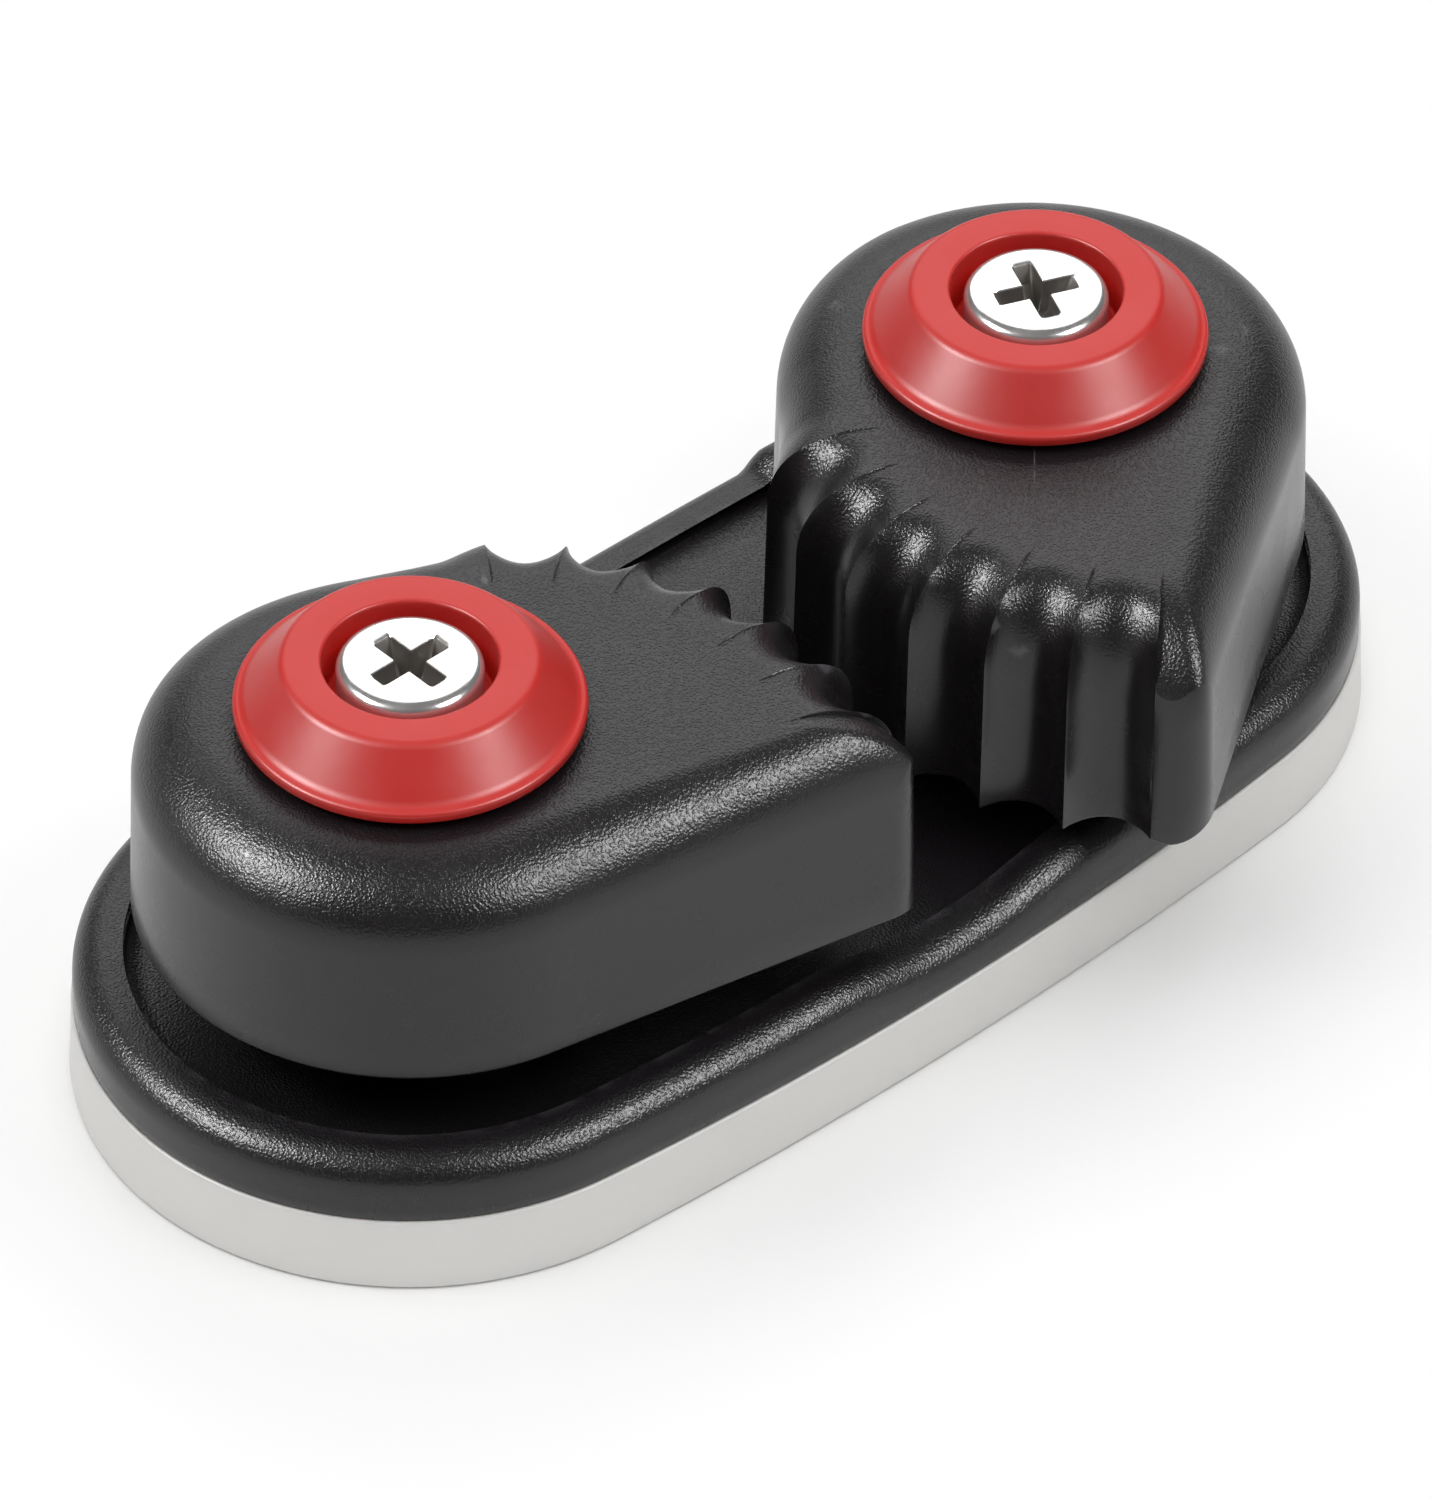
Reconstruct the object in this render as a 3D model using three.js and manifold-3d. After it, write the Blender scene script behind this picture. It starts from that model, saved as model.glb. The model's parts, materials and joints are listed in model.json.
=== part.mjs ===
// Cam cleat for ropes of about 3 to 10 mm: two sprung, toothed cams turn on ball bearings above a
// rimmed base plate, which stands on a flared mounting pad. Two screws go down through the red hub
// caps, the steel bushes, the base and the pad. Millimetres, +Z up. The origin is in the middle of
// the pad's underside, halfway between the two pivots. +X runs from the left pivot to the right one,
// and the loaded rope comes from +Y, so the cams' noses point to -Y.
import * as THREE from 'three';
import { mergeVertices } from 'three/addons/utils/BufferGeometryUtils.js';
import Module from 'manifold-3d';

const wasm = await Module();
wasm.setup();

// ---- driving dimensions -------------------------------------------------------------------------
const PIVOT_SPACING = 38; // between the two pivots and the two mounting screws
const SEAT_GAP = 0.05; // between pieces that are clamped flat on each other
const RUNNING_GAP = 0.1; // radial clearance of pieces that turn or are dropped in
const OVERCUT = 1; // how far a cutting tool reaches past the face that it cuts

// plan of the base: two end circles, and long sides that bulge outwards between them
const END_OFFSET = 0.2; // from a pivot out to the centre of the end circle
const END_RADIUS = 15.1;
const SIDE_BULGE = 1.1;

// mounting pad
const PAD_THICKNESS = 3.9;
const PAD_TOP_MARGIN = 0.1;
const PAD_FOOT_OFFSET = 0.1;
const PAD_FOOT_RADIUS = 15.4;
const PAD_FOOT_BULGE = 0.8;

// base plate
const FLOOR_THICKNESS = 1.5;
const LIP_HEIGHT = 2.3; // from the base's underside to the low lip between the cams
const RIM_HEIGHT = 3.1; // the same to the high rim round the two ends
const RIM_WIDTH = 2.5;
const RIM_ROUNDING = 1.2;
const RIM_BEVEL_WIDTH = 0.45; // on the inner edge of the rim
const RIM_BEVEL_DROP = 0.35;
const RIM_LEAN = 0.15; // of the rim's inner wall
const FAR_STEP_START = 14.6; // from the middle, where the lip steps up to the rim on the loaded side
const FAR_STEP_LENGTH = 1.2;
const NEAR_STEP_START = 1; // the same on the side of the noses, where it is a long ramp
const NEAR_STEP_LENGTH = 7;
const BOSS_RADIUS = 7.6;
const BOSS_HEIGHT = 2.7; // above the floor
const BUSH_SEAT_DEPTH = 2.2; // below the top of the boss

// cams, with their angles about the pivot taken when the cleat is shut: 0 is towards the other cam
const CAM_BOTTOM_GAP = 1.2; // from the boss up to the edge of the cam's skirt
const CAM_HEIGHT = 11.05;
const CAM_END_RADIUS = 12.4;
const SHUT_GAP = 2.6; // between the two toothed faces on the line through the pivots
const SPIRAL_GROWTH = 0.331; // share that the radius grows by in each radian
const NOSE_TIP = 1.4; // how much further from the pivot the nose's corner is than the last crest
const SHUT_NOSE_GAP = 0.4; // between the two noses
const FIRST_CREST_ANGLE = THREE.MathUtils.degToRad(41.5);
const LAST_CREST_ANGLE = THREE.MathUtils.degToRad(-32);
const HEEL_ANGLE = THREE.MathUtils.degToRad(54); // where the round end begins behind the teeth
const NOSE_BLUNTING = 0.99; // share of its distance from the pivot that the nose's corner keeps
const FLUTES = 6;
const FLUTE_DEPTH = 1.1;
const DRAFT = 0.15;
const SHOULDER = 3.6; // rounding from the walls to the top
const NOSE_SHOULDER = 1.9;
const CREST_REACH = 4.6; // how far a tooth's crest comes out from the flat top
const CREST_DROP = 3.2; // how far it comes down meanwhile
const ROOT_REACH = 2.7; // the same for the bottom of a flute
const ROOT_DROP = 3.6;
const TOP_BORDER = 0.5; // flat border inside the shoulder
const TOP_WALL = 0.2; // least width of the flat top round the bearing's bore
const LEFT_OPENING = THREE.MathUtils.degToRad(6.5); // how far each cam is held open by the rope
const RIGHT_OPENING = THREE.MathUtils.degToRad(29);

// screws
const SCREW_RADIUS = 1.7;
const SCREW_HOLE_RADIUS = 1.95;
const SCREW_HEAD_RADIUS = 3.29;
const SCREW_HEAD_HEIGHT = 2.35;
const SCREW_TIP_HEIGHT = 0.6; // above the pad's underside
const SCREW_TIP_TAPER = 0.5;
const SCREW_TIP_LENGTH = 0.9;
const HEAD_LOWER_CHAMFER = 0.18;
const HEAD_UPPER_CHAMFER = 0.35;
const RECESS_ARM = 1.7; // from the screw's axis to the end of an arm
const RECESS_WIDTH = 0.8;
const RECESS_DEPTH = 1.5;
const RECESS_TAPER = 0.5; // share of its size that the recess keeps at its bottom

// ball bearing, bush and thrust washers
const BUSH_RADIUS = 2.9;
const BALL_RADIUS = 1.5;
const BALL_PLAY = 0.05;
const BALLS = 7;
const BALL_HEADROOM = 0.7; // above and below a ball in its race
const CAGE_WALL = 0.7;
const CAGE_POCKET_GAP = 0.15;
const CAGE_END_GAP = 0.15;
const WASHER_THICKNESS = 0.55;
const WASHER_WIDTH = 1.9;
const BUSH_BELOW_TOP = 0.45; // from the cam's top down to the bush's end

// torsion spring
const SPRING_WIRE_RADIUS = 0.45;
const SPRING_RADIUS = 6.15; // to the middle of the wire
const SPRING_COIL_GAP = 0.3; // between neighbouring coils
const SPRING_LEG = 1.7;
const SPRING_LEG_COVER = 0.2; // between the upper leg's hole and the ball race
const SPRING_HOLE_GAP = 0.75; // round a leg in its hole
const SPRING_ROOM = 0.65; // beside the wire in its groove
const SPRING_HEADROOM = 0.4; // above the coils in the groove
const SPRING_REST = 0.15; // below the coils
const SPRING_BASE_ANGLE = THREE.MathUtils.degToRad(250);
const SPRING_CAM_ANGLE = THREE.MathUtils.degToRad(190);

// hub caps
const CAP_RIM_RADIUS = 7.85;
const CAP_TOP_RADIUS = 5.68;
const CAP_WELL_RADIUS = 3.94;
const CAP_HEIGHT = 2.8; // from the rim's lower edge to the flat top
const CAP_RIM_HEIGHT = 0.55;
const CAP_RIM_EDGE = 0.18; // bevels of the rim
const CAP_CAM_GAP = 0.4; // between the cam's top and the rim's lower edge
const CAP_HUB_GAP = 0.4; // between the cap's hub and the cam's bore
const HEAD_BELOW_CAP = 0.1;

// ---- heights and radii that follow --------------------------------------------------------------
const HALF_SPACING = PIVOT_SPACING / 2;
const BASE_BOTTOM = PAD_THICKNESS;
const FLOOR_TOP = BASE_BOTTOM + FLOOR_THICKNESS;
const BOSS_TOP = FLOOR_TOP + BOSS_HEIGHT;
const BUSH_BOTTOM = BOSS_TOP - BUSH_SEAT_DEPTH;
const LOWER_WASHER_BOTTOM = BOSS_TOP + SEAT_GAP;
const HUB_BOTTOM = LOWER_WASHER_BOTTOM + WASHER_THICKNESS + SEAT_GAP;
const CAM_BOTTOM = BOSS_TOP + CAM_BOTTOM_GAP;
const CAM_TOP = CAM_BOTTOM + CAM_HEIGHT;
const CAP_RIM_BOTTOM = CAM_TOP + CAP_CAM_GAP;
const CAP_TOP = CAP_RIM_BOTTOM + CAP_HEIGHT;
const SCREW_TOP = CAP_TOP - HEAD_BELOW_CAP;
const HEAD_BOTTOM = SCREW_TOP - SCREW_HEAD_HEIGHT;
const BUSH_TOP = CAM_TOP - BUSH_BELOW_TOP;
const CAP_HUB_BOTTOM = BUSH_TOP + SEAT_GAP;
const UPPER_WASHER_BOTTOM = BUSH_TOP - WASHER_THICKNESS;
const RACE_HEIGHT = 2 * (BALL_RADIUS + BALL_HEADROOM);
const RACE_BOTTOM = UPPER_WASHER_BOTTOM - RACE_HEIGHT - SEAT_GAP;
const BALL_TRACK = BUSH_RADIUS + BALL_PLAY + BALL_RADIUS;
const RACE_RADIUS = BALL_TRACK + BALL_RADIUS + BALL_PLAY;
const BALL_HEIGHT = RACE_BOTTOM + RACE_HEIGHT / 2;
const BORE_RADIUS = BUSH_RADIUS + RUNNING_GAP;
const GROOVE_INNER = SPRING_RADIUS - SPRING_WIRE_RADIUS - SPRING_ROOM;
const GROOVE_OUTER = SPRING_RADIUS + SPRING_WIRE_RADIUS + SPRING_ROOM;
const SPRING_HOLE_RADIUS = SPRING_WIRE_RADIUS + SPRING_HOLE_GAP;
const SPRING_PITCH = 2 * SPRING_WIRE_RADIUS + SPRING_COIL_GAP;
const SPRING_BOTTOM = BOSS_TOP + RUNNING_GAP + 2 * SPRING_WIRE_RADIUS + SPRING_REST;
const GROOVE_TOP_LIMIT = RACE_BOTTOM - SPRING_LEG - SPRING_LEG_COVER;
const SPRING_TOP_LIMIT = GROOVE_TOP_LIMIT - SPRING_HEADROOM - SPRING_WIRE_RADIUS;
const SPRING_TURNS = Math.max(1, Math.floor((SPRING_TOP_LIMIT - SPRING_BOTTOM) / SPRING_PITCH));
const SPRING_TOP = SPRING_BOTTOM + SPRING_TURNS * SPRING_PITCH;
const GROOVE_TOP = SPRING_TOP + SPRING_WIRE_RADIUS + SPRING_HEADROOM;
const GRIP_RADIUS = HALF_SPACING - SHUT_GAP / 2;
const NOSE_RADIUS = spiralRadius(LAST_CREST_ANGLE) + NOSE_TIP; // from the pivot to the nose's corner
const NOSE_ANGLE = -Math.acos((HALF_SPACING - SHUT_NOSE_GAP / 2) / NOSE_RADIUS);
const SIDE_NORMAL = NOSE_ANGLE - Math.acos(CAM_END_RADIUS / NOSE_RADIUS);
const SIDE_LENGTH = Math.sqrt(NOSE_RADIUS ** 2 - CAM_END_RADIUS ** 2);

// ---- finishes -----------------------------------------------------------------------------------
const finish = (color, roughness, metalness) =>
  new THREE.MeshStandardMaterial({ color, roughness, metalness, flatShading: true });
const MATERIALS = {
  black: finish(0x17161a, 0.42, 0),
  white: finish(0xe9e7e2, 0.45, 0),
  red: finish(0xc51f24, 0.35, 0),
  steel: finish(0xd9dadb, 0.22, 1),
  springSteel: finish(0x9fa2a6, 0.3, 1),
  acetal: finish(0xf2efe6, 0.4, 0),
  cage: finish(0x2b2b2e, 0.5, 0),
};

// ---- mesh helpers -------------------------------------------------------------------------------
/** Merges equal points and makes the faces point out. */
function closedBody(geometry) {
  geometry.deleteAttribute('normal');
  geometry.deleteAttribute('uv');
  const body = mergeVertices(geometry, 1e-5);
  const index = body.index.array;
  const corner = [0, 1, 2].map(() => new THREE.Vector3());
  let volume = 0;
  for (let i = 0; i < index.length; i += 3) {
    corner.forEach((point, k) => point.fromBufferAttribute(body.attributes.position, index[i + k]));
    volume += corner[0].dot(corner[1].clone().cross(corner[2]));
  }
  if (volume < 0) {
    flipFaces(body);
  }
  return body;
}

function flipFaces(body) {
  const index = body.index.array;
  for (let i = 0; i < index.length; i += 3) {
    [index[i + 1], index[i + 2]] = [index[i + 2], index[i + 1]];
  }
}

/** Mirrors a closed body across the plane x = 0. */
function mirrored(body) {
  const copy = body.clone();
  copy.scale(-1, 1, 1);
  flipFaces(copy);
  return copy;
}

function solid(geometry) {
  const body = closedBody(geometry);
  return new wasm.Manifold(new wasm.Mesh({
    numProp: 3,
    vertProperties: new Float32Array(body.attributes.position.array),
    triVerts: new Uint32Array(body.index.array),
  }));
}

function geometryOf(manifold) {
  const mesh = manifold.getMesh();
  const body = new THREE.BufferGeometry();
  body.setAttribute('position', new THREE.BufferAttribute(new Float32Array(mesh.vertProperties), 3));
  body.setIndex(new THREE.BufferAttribute(new Uint32Array(mesh.triVerts), 1));
  return body;
}

/** Cuts every tool out of a body. */
function cut(body, tools) {
  return geometryOf(tools.reduce((rest, tool) => rest.subtract(solid(tool)), solid(body)));
}

/** Joins bodies into one. */
function joined(bodies) {
  return geometryOf(bodies.map(solid).reduce((all, next) => all.add(next)));
}

const polar = (radius, angle) => new THREE.Vector2(radius * Math.cos(angle), radius * Math.sin(angle));

/** Turns a closed section, given as [radius, height] pairs, about the Z axis. */
function turned(section, segments = 36) {
  const points = [...section, section[0]].map(([radius, height]) => new THREE.Vector2(radius, height));
  return closedBody(new THREE.LatheGeometry(points, segments).rotateX(Math.PI / 2));
}

function rod(radius, bottom, top, segments = 24) {
  const geometry = new THREE.CylinderGeometry(radius, radius, top - bottom, segments);
  return geometry.rotateX(Math.PI / 2).translate(0, 0, (bottom + top) / 2);
}

/** Joins rings of equally many points into a closed body with both ends filled. */
function skin(rings) {
  const count = rings[0].length;
  const positions = rings.flat().flatMap((point) => [point.x, point.y, point.z]);
  const index = [];
  for (let ring = 0; ring < rings.length - 1; ring += 1) {
    const low = ring * count;
    const high = low + count;
    for (let i = 0; i < count; i += 1) {
      const next = (i + 1) % count;
      index.push(low + i, low + next, high + next, low + i, high + next, high + i);
    }
  }
  [0, rings.length - 1].forEach((ring) => {
    const middle = positions.length / 3;
    const centre = rings[ring].reduce((sum, point) => sum.add(point), new THREE.Vector3());
    centre.divideScalar(count);
    positions.push(centre.x, centre.y, centre.z);
    for (let i = 0; i < count; i += 1) {
      const pair = [ring * count + i, ring * count + ((i + 1) % count)];
      index.push(...(ring === 0 ? pair.reverse() : pair), middle);
    }
  });
  const geometry = new THREE.BufferGeometry();
  geometry.setAttribute('position', new THREE.Float32BufferAttribute(positions, 3));
  geometry.setIndex(index);
  return closedBody(geometry);
}

// ---- base and pad -------------------------------------------------------------------------------
/** Outline of two end circles and two bulging sides, all tangent, counter-clockwise. */
function bulgedOutline(halfLength, radius, bulge, endSteps = 14, sideSteps = 14) {
  const depth = (halfLength ** 2 - bulge ** 2) / (2 * bulge);
  const lean = Math.atan2(halfLength, depth);
  const sideRadius = depth + radius + bulge;
  const points = [];
  [0, Math.PI].forEach((turn) => {
    for (let i = 0; i < endSteps; i += 1) {
      const angle = THREE.MathUtils.lerp(lean - Math.PI / 2, Math.PI / 2 - lean, i / endSteps);
      const point = new THREE.Vector2(radius, 0).rotateAround(new THREE.Vector2(), angle);
      points.push(point.add(new THREE.Vector2(halfLength, 0)).rotateAround(new THREE.Vector2(), turn));
    }
    for (let i = 0; i < sideSteps; i += 1) {
      const angle = THREE.MathUtils.lerp(lean, -lean, i / sideSteps);
      const point = new THREE.Vector2(Math.sin(angle), Math.cos(angle)).multiplyScalar(sideRadius);
      points.push(point.sub(new THREE.Vector2(0, depth)).rotateAround(new THREE.Vector2(), turn));
    }
  });
  return points;
}

function mountingPad() {
  const foot = bulgedOutline(HALF_SPACING + PAD_FOOT_OFFSET, PAD_FOOT_RADIUS, PAD_FOOT_BULGE);
  const top = bulgedOutline(HALF_SPACING + END_OFFSET, END_RADIUS + PAD_TOP_MARGIN, SIDE_BULGE);
  const rings = [
    foot.map((point) => new THREE.Vector3(point.x, point.y, 0)),
    top.map((point) => new THREE.Vector3(point.x, point.y, PAD_THICKNESS)),
  ];
  const holes = [-1, 1].map((side) => (
    rod(SCREW_HOLE_RADIUS, -OVERCUT, PAD_THICKNESS + OVERCUT).translate(side * HALF_SPACING, 0, 0)
  ));
  return cut(skin(rings), holes);
}

const HALF_ROUND = 1 - Math.SQRT1_2; // share of a rounding's radius that its middle is in from the edge

/** Height of the rim's crest, which rises from the lip in the middle to the two ends. */
function crestHeight({ x, y }) {
  const [start, length] = y > 0 ? [FAR_STEP_START, FAR_STEP_LENGTH] : [NEAR_STEP_START, NEAR_STEP_LENGTH];
  const share = THREE.MathUtils.smoothstep(Math.abs(x), start, start + length);
  return BASE_BOTTOM + THREE.MathUtils.lerp(LIP_HEIGHT, RIM_HEIGHT, share);
}

function basePlate() {
  const section = [
    { inset: 0, height: () => BASE_BOTTOM },
    { inset: 0, height: (crest) => crest - RIM_ROUNDING },
    { inset: RIM_ROUNDING * HALF_ROUND, height: (crest) => crest - RIM_ROUNDING * HALF_ROUND },
    { inset: RIM_ROUNDING, height: (crest) => crest },
    { inset: RIM_WIDTH - RIM_LEAN - RIM_BEVEL_WIDTH, height: (crest) => crest },
    { inset: RIM_WIDTH - RIM_LEAN, height: (crest) => crest - RIM_BEVEL_DROP },
    { inset: RIM_WIDTH, height: () => FLOOR_TOP },
  ];
  const rings = section.map(({ inset, height }) => {
    const outline = bulgedOutline(HALF_SPACING + END_OFFSET, END_RADIUS - inset, SIDE_BULGE);
    return outline.map((point) => new THREE.Vector3(point.x, point.y, height(crestHeight(point))));
  });
  const bosses = [-1, 1].map((side) => (
    rod(BOSS_RADIUS, BASE_BOTTOM + FLOOR_THICKNESS / 2, BOSS_TOP, 40).translate(side * HALF_SPACING, 0, 0)
  ));
  const holes = [-1, 1].flatMap((side) => {
    const angle = side < 0 ? SPRING_BASE_ANGLE : Math.PI - SPRING_BASE_ANGLE;
    const legSeat = polar(SPRING_RADIUS, angle);
    const tools = [
      rod(SCREW_HOLE_RADIUS, BASE_BOTTOM - OVERCUT, BOSS_TOP + OVERCUT),
      rod(BORE_RADIUS, BUSH_BOTTOM - SEAT_GAP, BOSS_TOP + OVERCUT, 32),
      rod(SPRING_HOLE_RADIUS, BUSH_BOTTOM, BOSS_TOP + OVERCUT, 12).translate(legSeat.x, legSeat.y, 0),
    ];
    return tools.map((tool) => tool.translate(side * HALF_SPACING, 0, 0));
  });
  return cut(joined([skin(rings), ...bosses]), holes);
}

// ---- cams ---------------------------------------------------------------------------------------
function spiralRadius(angle) {
  return GRIP_RADIUS * Math.exp(-SPIRAL_GROWTH * angle);
}

function spiralAngle(radius) {
  return -Math.log(radius / GRIP_RADIUS) / SPIRAL_GROWTH;
}

/** Leaves a shoulder as it is, or makes it as wide as the wall between an outline and the bore allows. */
function fitted(shoulder, radius) {
  return Math.min(shoulder, radius - RACE_RADIUS - TOP_WALL - TOP_BORDER - DRAFT);
}

/**
 * The places along a cam's outline. Each has its shoulder's reach and drop, the inset where the flat top
 * begins, and a function that gives its point at any inset.
 */
function camStations() {
  const stations = [];
  const roundSteps = 26;
  const endShoulder = fitted(SHOULDER, CAM_END_RADIUS);
  for (let i = 0; i < roundSteps; i += 1) {
    const angle = THREE.MathUtils.lerp(HEEL_ANGLE, SIDE_NORMAL + 2 * Math.PI, i / roundSteps);
    const at = (inset) => polar(CAM_END_RADIUS - inset, angle);
    stations.push({ reach: endShoulder, drop: endShoulder, border: endShoulder + TOP_BORDER, at });
  }
  const sideSteps = 9;
  for (let i = 0; i < sideSteps; i += 1) {
    const share = 1 - (1 - i / sideSteps) ** 1.5; // closer together towards the nose
    const reach = THREE.MathUtils.lerp(endShoulder, NOSE_SHOULDER, share);
    stations.push({ reach, drop: reach, border: reach + TOP_BORDER, at: (inset) => sidePoint(inset, share) });
  }
  const noseAt = (inset) => sidePoint(inset, 1).multiplyScalar(NOSE_BLUNTING);
  const noseBorder = NOSE_SHOULDER + TOP_BORDER;
  stations.push({ reach: NOSE_SHOULDER, drop: NOSE_SHOULDER, border: noseBorder, at: noseAt });
  const fluteSteps = 4;
  for (let i = 0; i <= FLUTES * fluteSteps; i += 1) {
    const share = i / (FLUTES * fluteSteps);
    const inFlute = Math.sin((Math.PI * (i % fluteSteps)) / fluteSteps);
    const full = Math.min(1, FLUTES * share); // the shoulders grow to their full size over one flute
    const widest = fitted(CREST_REACH, gripRadius(share));
    const crest = THREE.MathUtils.lerp(NOSE_SHOULDER, widest, full);
    const root = THREE.MathUtils.lerp(NOSE_SHOULDER, Math.min(ROOT_REACH, widest - FLUTE_DEPTH), full);
    stations.push({
      reach: THREE.MathUtils.lerp(crest, root, inFlute),
      drop: THREE.MathUtils.lerp(CREST_DROP, ROOT_DROP, inFlute),
      border: crest + TOP_BORDER - FLUTE_DEPTH * inFlute,
      at: (inset) => gripPoint(inset + FLUTE_DEPTH * inFlute, share),
    });
  }
  return stations;
}

/** Point on the straight side, from its tangent point (share 0) to the nose corner (share 1). */
function sidePoint(inset, share) {
  const offset = CAM_END_RADIUS - inset;
  const reach = (SIDE_LENGTH - inset) * share;
  return polar(Math.hypot(offset, reach), SIDE_NORMAL + Math.atan2(reach, offset));
}

/** Radius along the toothed face, from the last crest by the nose (share 0) to the first one (share 1). */
function gripRadius(share) {
  return THREE.MathUtils.lerp(spiralRadius(LAST_CREST_ANGLE), spiralRadius(FIRST_CREST_ANGLE), share);
}

/** Point on the toothed face, inset along the normal of the spiral through the crests. */
function gripPoint(inset, share) {
  const radius = gripRadius(share);
  const angle = spiralAngle(radius);
  return polar(radius, angle).sub(polar(inset, angle + Math.atan(SPIRAL_GROWTH)));
}

/** A cam about its own pivot, shut, for the left side. */
function camBody() {
  const stations = camStations();
  const ring = (inset, height) => stations.map((station) => {
    const point = station.at(inset(station));
    return new THREE.Vector3(point.x, point.y, height(station));
  });
  const outside = [
    ring(() => 0, () => CAM_BOTTOM),
    ...[0, 30, 60, 90].map((degrees) => {
      const angle = THREE.MathUtils.degToRad(degrees);
      return ring(
        ({ reach }) => DRAFT + reach * (1 - Math.cos(angle)),
        ({ drop }) => CAM_TOP - drop * (1 - Math.sin(angle)),
      );
    }),
    ring(({ border }) => DRAFT + border, () => CAM_TOP),
  ];
  const hub = rod(GROOVE_INNER, HUB_BOTTOM, GROOVE_TOP, 40);
  const groove = turned([
    [GROOVE_INNER, CAM_BOTTOM - OVERCUT],
    [GROOVE_OUTER, CAM_BOTTOM - OVERCUT],
    [GROOVE_OUTER, GROOVE_TOP],
    [GROOVE_INNER, GROOVE_TOP],
  ], 40);
  const legSeat = polar(SPRING_RADIUS, SPRING_CAM_ANGLE);
  const legHole = rod(SPRING_HOLE_RADIUS, GROOVE_TOP - OVERCUT, GROOVE_TOP + SPRING_LEG, 12);
  return cut(joined([skin(outside), hub]), [
    groove,
    legHole.translate(legSeat.x, legSeat.y, 0),
    rod(BORE_RADIUS, HUB_BOTTOM - OVERCUT, RACE_BOTTOM + OVERCUT, 32),
    rod(RACE_RADIUS, RACE_BOTTOM, CAM_TOP + OVERCUT, 40),
  ]);
}

// ---- bearing, spring and fasteners ---------------------------------------------------------------
function bush() {
  return turned([
    [SCREW_HOLE_RADIUS, BUSH_BOTTOM],
    [BUSH_RADIUS, BUSH_BOTTOM],
    [BUSH_RADIUS, BUSH_TOP],
    [SCREW_HOLE_RADIUS, BUSH_TOP],
  ], 32);
}

function washer(bottom, outerRadius) {
  return turned([
    [BORE_RADIUS, bottom],
    [outerRadius, bottom],
    [outerRadius, bottom + WASHER_THICKNESS],
    [BORE_RADIUS, bottom + WASHER_THICKNESS],
  ], 24);
}

function ballCage() {
  const ring = turned([
    [BALL_TRACK - CAGE_WALL / 2, RACE_BOTTOM + CAGE_END_GAP],
    [BALL_TRACK + CAGE_WALL / 2, RACE_BOTTOM + CAGE_END_GAP],
    [BALL_TRACK + CAGE_WALL / 2, RACE_BOTTOM + RACE_HEIGHT - CAGE_END_GAP],
    [BALL_TRACK - CAGE_WALL / 2, RACE_BOTTOM + RACE_HEIGHT - CAGE_END_GAP],
  ], BALLS * 3);
  const pockets = Array.from({ length: BALLS }, (_, i) => {
    const radius = BALL_RADIUS + CAGE_POCKET_GAP;
    const pocket = new THREE.CylinderGeometry(radius, radius, 2 * BALL_RADIUS, 8);
    return pocket.rotateZ(Math.PI / 2).translate(BALL_TRACK, 0, BALL_HEIGHT).rotateZ(ballAngle(i));
  });
  return cut(ring, pockets);
}

const ballAngle = (i) => (2 * Math.PI * i) / BALLS;

/** Wire of a torsion spring: a leg down into the base, the coil, and a leg up into the cam. */
function springWire(camAngle) {
  const sweep = SPRING_TURNS * 2 * Math.PI + camAngle - SPRING_BASE_ANGLE;
  const steps = Math.ceil(sweep / THREE.MathUtils.degToRad(24));
  const at = (angle, height) => new THREE.Vector3(
    SPRING_RADIUS * Math.cos(angle),
    SPRING_RADIUS * Math.sin(angle),
    height,
  );
  const bend = 2 * SPRING_WIRE_RADIUS;
  const points = [at(SPRING_BASE_ANGLE, SPRING_BOTTOM - bend - SPRING_LEG)];
  points.push(at(SPRING_BASE_ANGLE, SPRING_BOTTOM - bend));
  for (let i = 1; i < steps; i += 1) {
    const share = i / steps;
    const height = THREE.MathUtils.lerp(SPRING_BOTTOM, SPRING_TOP, share);
    points.push(at(SPRING_BASE_ANGLE + sweep * share, height));
  }
  points.push(at(SPRING_BASE_ANGLE + sweep, SPRING_TOP + bend));
  points.push(at(SPRING_BASE_ANGLE + sweep, SPRING_TOP + SPRING_LEG));
  return new THREE.CatmullRomCurve3(points, false, 'centripetal');
}

function torsionSpring(camAngle) {
  const section = new THREE.Shape().absarc(0, 0, SPRING_WIRE_RADIUS, 0, 2 * Math.PI);
  const wire = springWire(camAngle);
  const steps = Math.round(1.3 * wire.points.length);
  return closedBody(new THREE.ExtrudeGeometry(section, { extrudePath: wire, steps, curveSegments: 3 }));
}

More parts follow.
